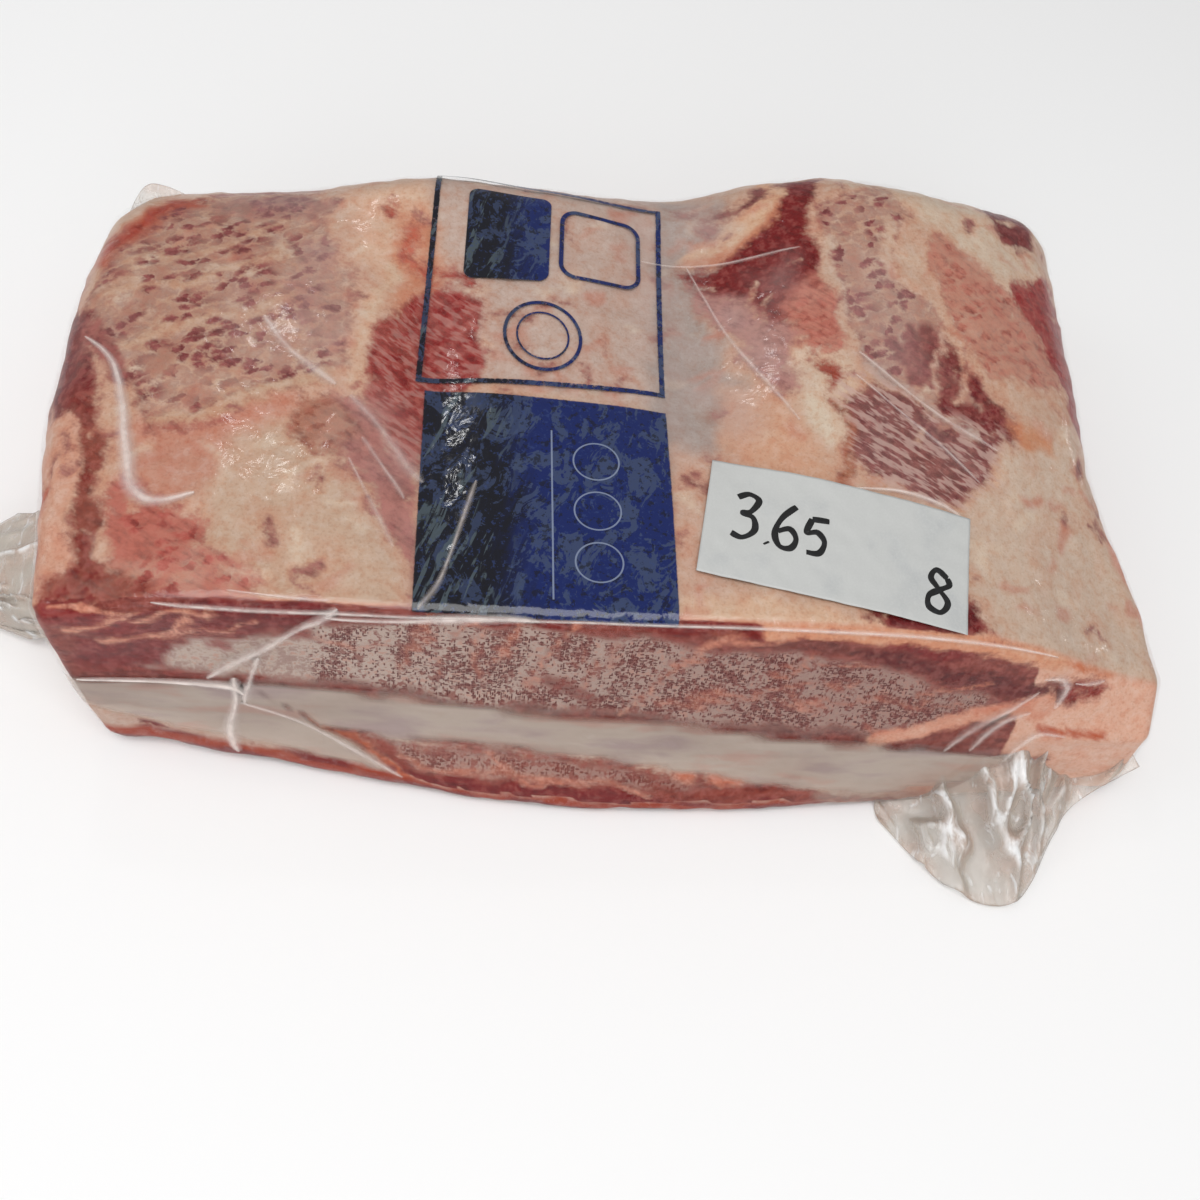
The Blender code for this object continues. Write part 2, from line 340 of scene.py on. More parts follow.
# Narrow bands of lean: the line that each follows, its half width and its colour.
TOP_LEAN_BANDS = {
    "upper left red a": ([(-150, 40), (-143, 49), (-134, 57)], 1.6, (150, 58, 44)),
    "upper left red b": ([(-134, 60), (-126, 62)], 1.4, (146, 66, 52)),
    "eye top edge": ([(-122, 66), (-108, 68), (-94, 68)], 1.6, (140, 72, 70)),
    "under the eye": ([(-130, -27), (-120, -24), (-110, -20)], 0.9, (150, 84, 74)),
    "beside the red": ([(-58, 36), (-50, 36), (-44, 33)], 1.4, (150, 62, 56)),
    "left rim": ([(-160, 44), (-161, 24), (-160, 8)], 3.0, (158, 82, 68)),
    "left edge upper": ([(-156, 12), (-156, 2), (-154, -8), (-151, -14)], 7.0,
                        (108, 34, 37)),
    "left edge inner": ([(-150, 6), (-144, 0), (-140, -8)], 3.0, (134, 70, 66)),
    "left blot a": ([(-147, -18), (-146, -24)], 3.2, (120, 52, 46)),
    "left blot b": ([(-143, -28), (-142, -33)], 3.8, (126, 60, 50)),
    "left blot c": ([(-144, -38), (-142, -43)], 2.6, (118, 50, 42)),
    "left blot d": ([(-141, -47), (-141, -53)], 3.4, (122, 56, 46)),
    "left blot e": ([(-143, -58), (-141, -68)], 2.8, (120, 50, 42)),
    "left strip red": ([(-157, -44), (-156, -66)], 1.6, (170, 86, 62)),
    "valley spot a": ([(22, 77), (26, 75)], 1.6, (132, 80, 78)),
    "valley spot b": ([(28, 67), (30, 69)], 1.7, (130, 76, 74)),
    "valley spot c": ([(32, 72), (37, 75)], 1.5, (116, 62, 62)),
    "valley spot d": ([(41, 77), (47, 82)], 1.8, (98, 44, 48)),
    "brown seam": ([(62, -3), (65, -13), (63, -24), (60, -33)], 1.3, (146, 84, 60)),
    "finger a": ([(100, 20), (109, 6)], 2.9, (108, 38, 40)),
    "finger b": ([(107, 12), (116, 0)], 2.8, (108, 36, 38)),
    "finger c": ([(94, 25), (98, 8)], 2.8, (116, 50, 50)),
    "finger d": ([(98, 0), (116, -8)], 3.6, (110, 40, 42)),
    "finger e": ([(88, 26), (92, 8)], 2.2, (124, 62, 62)),
    "finger f": ([(82, 22), (88, 6)], 2.0, (126, 66, 66)),
    "red vein by the print": ([(-64, 48), (-62, 38), (-58, 30)], 1.2, (176, 84, 66)),
    "red speck at the back": ([(-71, 58), (-70, 54)], 1.4, (150, 58, 46)),
}

# Seams of fat that part the muscles, in the same way.
TOP_SEAMS = {
    "strip beside the eye": ([(-68, 34), (-74, 18), (-77, 8), (-77, -2), (-75, -9)], 2.6,
                             (198, 166, 142)),
    "cap rim": ([(87, 63), (84, 50), (93, 43), (100, 36), (105, 26), (105, 17)], 2.2,
                (194, 160, 138)),
    "cap seam": ([(64, 58), (66, 46), (67, 36), (67, 24), (69, 13), (78, 6)], 1.9,
                 (192, 162, 142)),
    "cap seam low": ([(70, 14), (80, 6), (92, -2), (104, -9)], 1.0, (176, 150, 138)),
    "eye seam a": ([(-146, 20), (-128, 24), (-112, 30), (-98, 40)], 1.1, (184, 144, 120)),
    "eye seam b": ([(-140, 2), (-126, 8), (-110, 14), (-98, 18)], 1.5, (184, 146, 122)),
    "eye seam c": ([(-144, 32), (-128, 36), (-112, 42), (-102, 50)], 0.8, (184, 144, 120)),
    "eye rim": ([(-128, -24), (-114, -17), (-98, -11), (-84, -5)], 1.8, (186, 150, 126)),
    "finger gap a": ([(108, 17), (104, 8), (100, 1)], 1.1, (190, 154, 134)),
    "finger gap b": ([(99, 24), (97, 14), (95, 5)], 0.9, (188, 152, 134)),
    "point vein": ([(41, 43), (40, 36), (41, 31)], 0.7, (186, 140, 118)),
}

# Fat of different colours: outlines, colours, and how softly each fades out.
TOP_FAT = {
    "under the print": ([(-62, 84), (14, 86), (14, -6), (-58, 0)], (184, 156, 142), 4.0),
    "cream at the back": ([(-82, 60), (-60, 70), (-57, 40), (-59, 22), (-68, 24), (-76, 35)],
                          (198, 160, 136), 5.0),
    "salmon by the print": ([(-66, 52), (-58, 50), (-56, 30), (-62, 16), (-70, 26)],
                            (190, 134, 108), 4.0),
    "upper left orange": ([(-154, 34), (-144, 52), (-132, 63), (-126, 58), (-140, 42),
                           (-148, 30)], (170, 84, 60), 3.0),
    "eye tan": ([(-146, 40), (-126, 54), (-104, 50), (-98, 20), (-100, -4), (-130, -8),
                 (-148, 10)], (182, 144, 122), 6.0),
    "left strip": ([(-160, -14), (-148, -14), (-146, -60), (-142, -72), (-156, -72)],
                   (194, 148, 126), 2.5),
    "under the eye": ([(-132, -26), (-112, -18), (-96, -14), (-92, -22), (-104, -26),
                       (-116, -34), (-130, -38)], (186, 128, 108), 8.0),
    "pink wet": ([(-131, -28), (-118, -24), (-106, -30), (-112, -43), (-118, -50),
                  (-129, -44)], (184, 132, 112), 8.0),
    "beige wet": ([(-104, -26), (-91, -20), (-79, -30), (-69, -44), (-63, -62), (-61, -76),
                   (-112, -76), (-114, -65), (-111, -47)], (186, 154, 132), 6.0),
    # The grey of this fat is partly painted shade and sheen of the hollow beside the cap.
    "grey middle": ([(16, 86), (34, 78), (35, 53), (24, 43), (28, 19), (37, 0), (32, -14),
                     (24, -22), (16, -40), (10, -40), (8, -3)], (159, 142, 133), 4.0),
    "cream band": ([(21, 56), (30, 65), (41, 73), (47, 82), (55, 92), (54, 76), (49, 68),
                    (42, 60), (34, 54), (27, 52)], (202, 166, 138), 2.0),
    "cream band foot": ([(22, 53), (34, 57), (46, 66), (52, 76), (55, 72), (48, 62),
                         (36, 53)], (184, 124, 96), 2.5),
    "bright cream": ([(51, 13), (58, 16), (68, 13), (66, -3), (64, -15), (58, -17), (53, -8),
                      (50, 2)], (198, 175, 154), 2.5),
    "orange fat": ([(30, 6), (44, -2), (52, -14), (58, -30), (40, -30), (28, -16)],
                   (194, 148, 122), 4.0),
    "beside the label": ([(12, -20), (30, -22), (22, -70), (12, -74)], (190, 152, 132), 5.0),
    "cream at the right": ([(69, 90), (100, 104), (121, 100), (135, 92), (143, 75),
                            (147, 59), (129, 50), (112, 65), (98, 72), (86, 82)],
                           (198, 172, 150), 4.0),
    "right fat": ([(113, -13), (143, -5), (157, -52), (160, -80), (123, -77), (95, -74),
                   (100, -39)], (192, 164, 144), 8.0),
    "right edge orange": ([(152, -30), (158, -32), (172, -50), (170, -80), (166, -70),
                           (160, -48)], (198, 138, 118), 3.0),
    "orange spot": ([(112, -3), (122, -1), (134, -5), (136, -9), (122, -9)],
                    (188, 130, 98), 2.5),
    "lip by the front": ([(10, -70), (40, -70), (80, -76), (120, -78), (120, -84),
                          (10, -82)], (200, 164, 138), 3.0),
    "lip at the left": ([(-150, -74), (-60, -78), (-60, -84), (-150, -84)],
                        (190, 128, 102), 2.5),
}

# Where the film stands a little off the meat and greys it, partly as milky haze and partly as
# a painted sheen of reflected light, and how strongly.
TOP_HAZE_AND_REFLECTION = {
    "eye side": ([(-98, 42), (-80, 48), (-76, 10), (-78, -6), (-92, 0), (-100, 16)], 0.25),
    "eye middle": ([(-114, 22), (-96, 20), (-90, 6), (-100, -4), (-112, 4)], 0.30),
    "eye back": ([(-118, 66), (-84, 66), (-84, 54), (-100, 52), (-118, 58)], 0.35),
    "valley": ([(4, 92), (34, 88), (36, 64), (22, 50), (26, 22), (40, 2), (36, -14),
                (10, -24), (6, 20)], 0.50),
    "cap flank": ([(24, 42), (38, 36), (48, 20), (50, 4), (40, 6), (30, 22)], 0.45),
    "cap": ([(70, 50), (84, 52), (92, 36), (96, 12), (84, 2), (72, 14), (68, 30)], 0.30),
    "point": ([(40, 46), (52, 50), (56, 36), (46, 30)], 0.30),
    "cap foot": ([(66, 0), (84, 2), (108, -12), (104, -26), (84, -34), (66, -24)], 0.16),
    "folds": ([(-84, -8), (-68, -8), (-56, -26), (-54, -76), (-62, -66), (-82, -28)], 0.28),
    "left edge": ([(-156, 14), (-140, 12), (-134, -6), (-142, -8), (-154, -4)], 0.12),
}

# Where pale fibres lie across the lean in shreds, and where grey-white streaks on the cap foot
# are a painted highlight of the film, and how strongly.
TOP_SHREDS_AND_HIGHLIGHTS = {
    # Painted highlight: the grey-white streaks of the film over the cap foot.
    "cap foot": ([(62, 6), (78, 8), (92, -2), (116, -8), (110, -24), (98, -34), (84, -34),
                  (66, -26)], 0.9),
    "beside the print": ([(-75, 3), (-65, 18), (-55, 31), (-44, 28), (-41, 8), (-52, -8),
                          (-57, -34), (-67, -24)], 0.40),
}

# The muscles, bands of lean and seams of fat of the cut front face, in the same ways, as
# outlines and lines of x and height.
FRONT_MUSCLES = {
    "left lens": ([(-150, 62), (-132, 62), (-117, 64), (-123, 57), (-132, 52), (-138, 52),
                   (-150, 54)], (120, 26, 22), 0.0),
    "left low lean": ([(-145, 48), (-133, 50), (-124, 56), (-118, 47), (-122, 38),
                       (-146, 36)], (114, 28, 22), 0.2),
    "upper edge lean": ([(-128, 61), (-110, 66), (-82, 67), (-80, 63), (-88, 58), (-99, 55),
                         (-107, 57), (-116, 53), (-126, 50)], (110, 26, 23), 0.0),
    "right lens": ([(66, 65), (80, 65), (91, 62), (96, 57), (86, 56), (72, 60)],
                   (116, 36, 34), 0.0),
    "foot lean": ([(-90, 24), (-76, 22), (-61, 20), (-39, 21), (-16, 20), (14, 17), (44, 13),
                   (66, 9), (88, 5), (88, -2), (-60, -2), (-58, 8), (-66, 13), (-78, 20)],
                  (134, 66, 56), 0.0),
    "foot rim": ([(-134, 12), (-118, 9), (-100, 9), (-60, 11), (-40, 10), (-10, 9), (20, 7),
                  (52, 6), (60, -2), (-134, -2)], (112, 28, 22), 0.0),
}
FRONT_BANDS = {
    "red spot": ([(-109, 50), (-106, 49)], 1.8, (130, 32, 28)),
    "edge line mid": ([(-58, 64), (-41, 65), (-21, 64.5)], 1.1, (112, 38, 34)),
    "edge line right": ([(4, 63.5), (25, 64), (38, 63)], 1.0, (116, 38, 34)),
    "patch mid": ([(-21, 43), (-14, 40), (-9, 36)], 2.2, (120, 56, 48)),
    "right band a": ([(38, 61), (52, 62), (66, 59)], 1.4, (110, 56, 50)),
    "right band b": ([(64, 59), (80, 54), (96, 50), (112, 46), (132, 42)], 2.3,
                     (96, 36, 32)),
    "right spot": ([(130, 43), (136, 44), (142, 43)], 1.6, (130, 48, 42)),
    "low mauve": ([(94, 18), (104, 20), (116, 20), (131, 19)], 2.0, (144, 96, 90)),
    "foot streak": ([(14, 11), (27, 9), (40, 9), (54, 12)], 1.8, (128, 58, 48)),
    "left ridge lean": ([(-144, 37), (-128, 36), (-112, 37)], 1.0, (126, 50, 44)),
    # Painted shadow: a thin dark line under the ridge of the cut face.
    "painted shadow under the ridge": ([(-84, 36), (-56, 35), (-28, 33), (-6, 32), (23, 31), (53, 28),
                     (74, 28)], 0.8, (118, 82, 76)),
}
FRONT_SEAMS = {
    "vein a": ([(44, 63), (23, 60), (15, 54), (12, 49), (8, 43), (4, 37), (1, 32)], 1.1,
               (190, 132, 110)),
    "vein b": ([(-4, 58), (-5, 47)], 0.8, (186, 126, 106)),
    "vein c": ([(-40, 60), (-40, 41)], 0.8, (186, 128, 108)),
    "vein d": ([(-57, 60), (-59, 52), (-60, 42)], 0.9, (186, 130, 110)),
    "vein e": ([(-84, 55), (-74, 50), (-64, 52)], 1.0, (184, 132, 114)),
    "vein f": ([(10, 36), (30, 40), (56, 38), (80, 42)], 0.8, (182, 120, 100)),
    "lens seam a": ([(-130, 61), (-138, 55), (-148, 51)], 0.9, (202, 150, 128)),
    "lens seam b": ([(-112, 60), (-122, 51), (-138, 49)], 0.9, (202, 150, 128)),
    "top fat right": ([(34, 66), (66, 66), (96, 61), (126, 52)], 2.4, (200, 152, 124)),
    "tongue": ([(76, 27), (90, 31), (106, 37), (124, 40)], 3.2, (200, 150, 128)),
    "right seam": ([(124, 32), (134, 30), (146, 31)], 0.6, (172, 92, 66)),
    "right upper seam": ([(130, 51), (141, 47), (150, 46)], 0.7, (186, 116, 82)),
    "lens seam c": ([(-146, 60), (-136, 62), (-126, 63)], 0.7, (202, 150, 128)),
    "lens seam d": ([(-128, 58), (-118, 62), (-108, 63)], 0.8, (202, 150, 128)),
    "lens seam e": ([(-120, 52), (-110, 57), (-98, 60)], 0.6, (196, 142, 122)),
    "foot blob a": ([(20, 16), (25, 15)], 1.6, (186, 122, 100)),
    "foot blob b": ([(32, 15), (38, 15)], 1.6, (186, 122, 100)),
    "foot thread a": ([(-60, 16), (-44, 12), (-30, 14), (-14, 10)], 0.9, (186, 128, 108)),
    "foot thread b": ([(-36, 18), (-24, 9), (-6, 12), (10, 8)], 0.8, (186, 126, 106)),
    "foot wedge edge": ([(-86, 23), (-74, 19), (-64, 12), (-58, 7)], 1.0, (182, 104, 74)),
}

# The cut face under a woven grey haze, partly a painted reflection of the pale table: outlines,
# and how strong the haze and specks are.
FRONT_HAZE_AND_REFLECTION = {
    "milky left": ([(-137, 46), (-120, 49), (-112, 53), (-100, 54), (-86, 56), (-82, 58),
                    (-82, 35), (-126, 36), (-138, 39)], 0.98, 0.15),
    "main": ([(-86, 60), (-62, 63), (-20, 63), (8, 61), (24, 57), (40, 60), (58, 57),
              (78, 51), (96, 46), (112, 43), (104, 38), (96, 33), (84, 29), (60, 28),
              (20, 30), (-28, 32), (-86, 35)], 0.95, 1.0),
    "foot": ([(-72, 21), (-39, 20), (-16, 19), (14, 16), (34, 13), (22, 9), (-8, 10),
              (-36, 11), (-56, 12)], 0.62, 0.9),
}


TOP_FLECKS, FRONT_VEINS = 620, 34


def paint_meat(points, normals):
    """Lean depth, fat network, haze and painted reflection, and two colours, for each skin
    point.
    """
    count = len(points)
    warp = np.stack([ripples(points, 17, seed) for seed in (1, 2, 3)], axis=1) * 1.3
    warp += np.stack([ripples(points, 6, seed) for seed in (4, 5, 6)], axis=1) * 0.6
    bent = points + warp
    x, y, z = points.T
    top_share = ease(-0.08, 0.14, normals[:, 2])
    front_share = ease(0.25, 0.6, -normals[:, 1]) * ease(-0.2, 0.1, normals[:, 2] + 0.3)
    top_share = top_share * (1 - front_share)
    side_share = 1 - np.clip(top_share + front_share, 0, 1)

    lean_tone = np.tile(tone(138, 88, 82), (count, 1))
    fat_tone = np.tile(tone(190, 154, 132), (count, 1))
    network, haze_and_reflection, specks, shreds_and_highlights = np.zeros((4, count))

    def lay(colours, shade, share):
        colours[:] += (tone(*shade) - colours) * share[:, None]

    # The layers that show on the ends, the back and the underside.
    layers = ripples(points * [0.35, 0.35, 1.0], 26, 11) + 0.5 * ripples(points, 15, 12)
    side_lean = (layers - 0.15) * 5
    lay(lean_tone, (136, 58, 52), side_share)
    lay(fat_tone, (196, 148, 122), side_share * ease(-0.4, 0.8, ripples(points, 40, 13)))

    # The top.
    flat = bent[:, :2]
    top_lean = np.full(count, -6.0)
    for outline, shade, threads in TOP_MUSCLES.values():
        deep = depth_in(flat, outline)
        lay(lean_tone, shade, ease(-3.0, 1.0, deep) * top_share)
        network += (threads - network) * ease(-1.5, 1.5, deep) * top_share
        top_lean = np.maximum(top_lean, deep)
    for line, radius, shade in TOP_LEAN_BANDS.values():
        deep = depth_by(flat, line, radius)
        lay(lean_tone, shade, ease(-2.0, 1.0, deep) * top_share)
        network += (0.1 - network) * ease(-1.5, 0.5, deep) * top_share
        top_lean = np.maximum(top_lean, deep)
    for outline, shade, soft in TOP_FAT.values():
        lay(fat_tone, shade, ease(-soft, soft * 0.5, depth_in(flat, outline)) * top_share)
    for line, radius, shade in TOP_SEAMS.values():
        deep = depth_by(flat, line, radius)
        lay(fat_tone, shade, ease(-1.5, 0.5, deep) * top_share)
        top_lean = np.where(deep > -2.5, np.minimum(top_lean, -deep * 1.5), top_lean)
    for outline, strength in TOP_SHREDS_AND_HIGHLIGHTS.values():
        share = ease(-4.0, 3.0, depth_in(flat, outline)) * top_share
        shreds_and_highlights = np.maximum(shreds_and_highlights, strength * share)
    for outline, strength in TOP_HAZE_AND_REFLECTION.values():
        share = ease(-8.0, 7.0, depth_in(flat, outline)) * top_share
        haze_and_reflection = np.maximum(haze_and_reflection, strength * share)

    # Flecks of lean in the fat and of fat in the lean, and pale and ruddy streaks.
    chance = np.random.default_rng(73)
    for _ in range(TOP_FLECKS):
        middle = np.array([chance.uniform(-156, 160), chance.uniform(-78, 96)])
        heading = chance.normal(0.45, 0.8)
        step = np.array([math.cos(heading), math.sin(heading)]) * chance.uniform(0.8, 4.0)
        radius, kind, strength = chance.uniform(0.4, 1.3), chance.uniform(), chance.uniform()
        near = np.nonzero(np.abs(flat - middle).max(axis=1) < 9)[0]
        bend = middle + chance.normal(size=2) * 0.8
        deep = depth_by(flat[near], [middle - step, bend, middle + step], radius)
        share = ease(-1.6, 0.6, deep) * top_share[near]
        if kind < 0.22:
            top_lean[near] = np.maximum(top_lean[near], deep * 1.5 - 0.9 * strength)
        elif kind < 0.40:
            pale = np.minimum(top_lean[near], 0.9 * strength - deep * 1.5)
            top_lean[near] = np.where(deep > -1.5, pale, top_lean[near])
        else:
            shade = tone(*((206, 182, 160) if kind < 0.68 else (182, 118, 98)))
            share *= 0.25 + 0.45 * strength
            fat_tone[near] += (shade - fat_tone[near]) * share[:, None]

    # The cut front face. What lies bare keeps the haze and painted reflection off it.
    flat = bent[:, [0, 2]]
    cut_lean = np.where((z > 20) & (x < 118), 3.0, -3.0)
    lay(lean_tone, (126, 62, 54), front_share)
    lay(fat_tone, (190, 132, 108), front_share)
    lay(fat_tone, (206, 168, 148), front_share * ease(98, 118, x))
    # Painted reflection: below the ridge the fat is greyed along with the milky film.
    lay(fat_tone, (184, 160, 146), front_share * ease(34, 30, z) * ease(100, 80, x))
    front_network = np.full(count, 0.3)
    bare = np.zeros(count)
    for name, (outline, shade, threads) in FRONT_MUSCLES.items():
        deep = depth_in(flat, outline)
        lay(lean_tone, shade, ease(-1.5, 1.0, deep) * front_share)
        front_network += (threads - front_network) * ease(-1.5, 1.0, deep)
        cut_lean = np.maximum(cut_lean, deep)
        if name != "foot lean":
            bare = np.maximum(bare, ease(-1.0, 1.5, deep))
    for line, radius, shade in FRONT_BANDS.values():
        deep = depth_by(flat, line, radius)
        lay(lean_tone, shade, ease(-1.5, 0.6, deep) * front_share)
        front_network += (0.0 - front_network) * ease(-1.5, 0.5, deep)
        cut_lean = np.maximum(cut_lean, deep)
        bare = np.maximum(bare, 0.75 * ease(-1.2, 0.8, deep))
    for line, radius, shade in FRONT_SEAMS.values():
        deep = depth_by(flat, line, radius)
        lay(fat_tone, shade, ease(-1.2, 0.5, deep) * front_share)
        cut_lean = np.where(deep > -2.0, np.minimum(cut_lean, -deep * 1.5), cut_lean)
        bare = np.maximum(bare, (0.9 if radius > 2 else 0.55) * ease(-0.8, 0.6, deep))
    chance = np.random.default_rng(71)
    for _ in range(FRONT_VEINS):
        start = np.array([chance.uniform(-84, 104), 0.0])
        start[1] = chance.uniform(34, 58) - 0.06 * max(start[0], 0)
        across = chance.uniform(0, 1) < ease(-40, 60, start[0])
        heading = np.array([1.0, 0.15]) if across else np.array([0.25, 1.0])
        steps = np.cumsum(heading + chance.normal(size=(4, 2)) * 0.45, axis=0)
        line = np.vstack([start, start + steps * chance.uniform(1.5, 3.4)])
        deep = depth_by(flat, line, chance.uniform(0.3, 0.7))
        lay(fat_tone, (192, 126, 102), ease(-1.2, 0.3, deep) * front_share)
        cut_lean = np.where(deep > -1.2, np.minimum(cut_lean, -deep * 1.5), cut_lean)
        bare = np.maximum(bare, 0.6 * ease(-1.0, 0.3, deep))
    for outline, strength, dots in FRONT_HAZE_AND_REFLECTION.values():
        share = ease(-0.5, 2.5, depth_in(flat, outline))
        haze_and_reflection = np.maximum(haze_and_reflection, strength * share * front_share * (1 - bare))
        specks = np.maximum(specks, dots * share * front_share)
    # Orange juice gathers along the foot.
    brim = 7.5 + 4.0 * ease(-48, -72, x) - 3.5 * ease(40, 90, x)
    foot = ease(brim, brim - 2.0, z + 0.8 * ripples(points, 9, 21)) * (1 - top_share)
    juice = ease(0.3, -0.5, ripples(points * [0.4, 1, 1], 7, 22))
    lay(fat_tone, (148, 58, 30), foot)
    lay(fat_tone, (112, 34, 26), foot * juice * 0.9)
    cut_lean = np.where(foot > 0.4, -4.0, cut_lean)

    fat_tone *= 1 + (np.array([-0.03, 0.03, 0.06]) * top_share[:, None])
    lean = top_lean * top_share + cut_lean * front_share + side_lean * side_share
    network = network * top_share + front_network * front_share + 0.4 * side_share
    return {
        "lean": np.clip(lean, -6, 6),
        "network": np.clip(network, 0, 1),
        "haze_and_reflection": np.clip(haze_and_reflection, 0, 1),
        "specks": np.clip(specks, 0, 1),
        "shreds_and_highlights": np.clip(shreds_and_highlights, 0, 1),
        "broad": 0.5 + 0.22 * ripples(points, 15, 51, 30),
        "blush": ease(0.0, 1.3, ripples(points, 11, 52, 30)),
        "cream": ease(0.1, 1.3, ripples(points, 7, 53, 30)),
        "lean_tone": lean_tone,
        "fat_tone": fat_tone,
    }


def keep_fields(piece, fields):
    """Store painted values on the piece, one for each point."""
    for name, values in fields.items():
        if values.ndim == 1:
            layer = piece.data.attributes.new(name, "FLOAT", "POINT")
            layer.data.foreach_set("value", values.astype(np.float32))
        else:
            layer = piece.data.attributes.new(name, "FLOAT_COLOR", "POINT")
            full = np.column_stack([values, np.ones(len(values))])
            layer.data.foreach_set("color", full.astype(np.float32).ravel())


class Wire:
    """One value or colour inside a material. Python's operators add the Math nodes."""

    def __init__(self, socket):
        self.socket = socket

    def node(self, kind, settings=None, inputs=None, output=0):
        tree = self.socket.id_data
        made = tree.nodes.new(kind)
        for name, value in (settings or {}).items():
            setattr(made, name, value)
        for place, value in (inputs or {}).items():
            if isinstance(value, Wire):
                tree.links.new(value.socket, made.inputs[place])
            else:
                made.inputs[place].default_value = value
        return Wire(made.outputs[output])

    def _math(self, operation, first, second=0.0):
        settings = {"operation": operation}
        return self.node("ShaderNodeMath", settings, {0: first, 1: second})

    def __add__(self, other):
        return self._math("ADD", self, other)

    def __sub__(self, other):
        return self._math("SUBTRACT", self, other)

    def __rsub__(self, other):
        return self._math("SUBTRACT", other, self)

    def __mul__(self, other):
        return self._math("MULTIPLY", self, other)

    def __pow__(self, other):
        return self._math("POWER", self, other)

    def __abs__(self):
        return self._math("ABSOLUTE", self)

    __radd__ = __add__
    __rmul__ = __mul__

    def most(self, other):
        return self._math("MAXIMUM", self, other)

    def least(self, other):
        return self._math("MINIMUM", self, other)

    def step(self, low, high):
        """0 below low and 1 above high, or the other way round, with an S curve between."""
        if low > high:
            return 1 - self.step(high, low)
        settings = {"interpolation_type": "SMOOTHSTEP"}
        return self.node("ShaderNodeMapRange", settings, {0: self, 1: low, 2: high})

    def blend(self, other, share):
        """This colour, turned into another by a share."""
        inputs = {0: share, 6: self, 7: other}
        return self.node("ShaderNodeMix", {"data_type": "RGBA"}, inputs, output=2)

    def beside(self, output):
        """Another output of the node that this one comes from."""
        return Wire(self.socket.node.outputs[output])

    def mixed(self, kind, shade, share):
        """This colour, multiplied by or screened with a fixed one by a share."""
        inputs = {0: share, 6: self, 7: (*shade, 1.0)}
        settings = {"data_type": "RGBA", "blend_type": kind}
        return self.node("ShaderNodeMix", settings, inputs, output=2)

    def tinted(self, shade, share):
        return self.mixed("MULTIPLY", shade, share)

    def lightened(self, shade, share):
        return self.mixed("SCREEN", shade, share)

    def stretched(self, x, y, z):
        inputs = {0: self, 1: (x, y, z)}
        return self.node("ShaderNodeVectorMath", {"operation": "MULTIPLY"}, inputs)

    def moved(self, x, y, z):
        inputs = {0: self, 1: (x, y, z)}
        return self.node("ShaderNodeVectorMath", {"operation": "ADD"}, inputs)

    def turned(self, angle):
        """This place, turned about the upright axis."""
        settings = {"rotation_type": "Z_AXIS"}
        return self.node("ShaderNodeVectorRotate", settings, {0: self, 3: angle})

    def axis(self, index):
        return self.node("ShaderNodeSeparateXYZ", {}, {0: self}, output=index)

    def noise(self, wavelength, detail=2.0, roughness=0.5, skew=0.0):
        inputs = {
            "Vector": self,
            "Scale": 1 / wavelength,
            "Detail": detail,
            "Roughness": roughness,
            "Distortion": skew,
        }
        return self.node("ShaderNodeTexNoise", {}, inputs)

    def cells(self, upward, scale, randomness):
        """Flat cells, as the distance from the middle of the nearest."""
        spot = self.node("ShaderNodeCombineXYZ", {}, {0: self, 1: upward, 2: 0.0})
        inputs = {"Vector": spot, "Scale": scale, "Randomness": randomness}
        return spot.node("ShaderNodeTexVoronoi", {"voronoi_dimensions": "2D"}, inputs)

    def bump(self, strength, distance):
        """The surface normal where this is a height."""
        inputs = {"Height": self, "Strength": strength, "Distance": distance}
        return self.node("ShaderNodeBump", {}, inputs)


def new_finish(name):
    """A material with its Principled shader, and the object's own position in millimetres."""
    finish = bpy.data.materials.new(name)
    finish.use_nodes = True
    tree = finish.node_tree
    shader = tree.nodes["Principled BSDF"]
    position = Wire(tree.nodes.new("ShaderNodeTexCoord").outputs["Object"])
    return finish, shader, position.stretched(1000, 1000, 1000)


def feed(shader, name, value):
    shader.id_data.links.new(value.socket, shader.inputs[name])


def painted(wire, name, output=2):
    """A field stored on the piece: output 0 is a colour, 2 a number."""
    return wire.node("ShaderNodeAttribute", {"attribute_name": name}, output=output)


def colour(shade):
    return (*tone(*shade), 1.0)


def plain(shader, shade):
    """One colour as a node, for others to be blended into."""
    made = Wire(shader.id_data.nodes.new("ShaderNodeRGB").outputs[0])
    made.socket.default_value = colour(shade)
    return made


meat = cut_block("roast_meat", MEAT_CELLS)
skin = read_points(meat)
facing = read_points(meat, "normal")
fields = paint_meat(skin, facing)
relief = 0.30 * ripples(skin, 22, 31) + 0.15 * ripples(skin, 8, 32)
relief -= 0.25 * ease(-1.0, 1.0, fields["lean"])
# The film bridges the lower front face, so the meat lies deeper there.
bridge = ease(0.5, 0.9, -facing[:, 1]) * ease(30, 22, skin[:, 2]) * ease(4, 12, skin[:, 2])
inset = FILM_GAP + BRIDGED_GAP * bridge
write_points(meat, skin + facing * (relief - inset)[:, None])
keep_fields(meat, fields)
settle(meat)


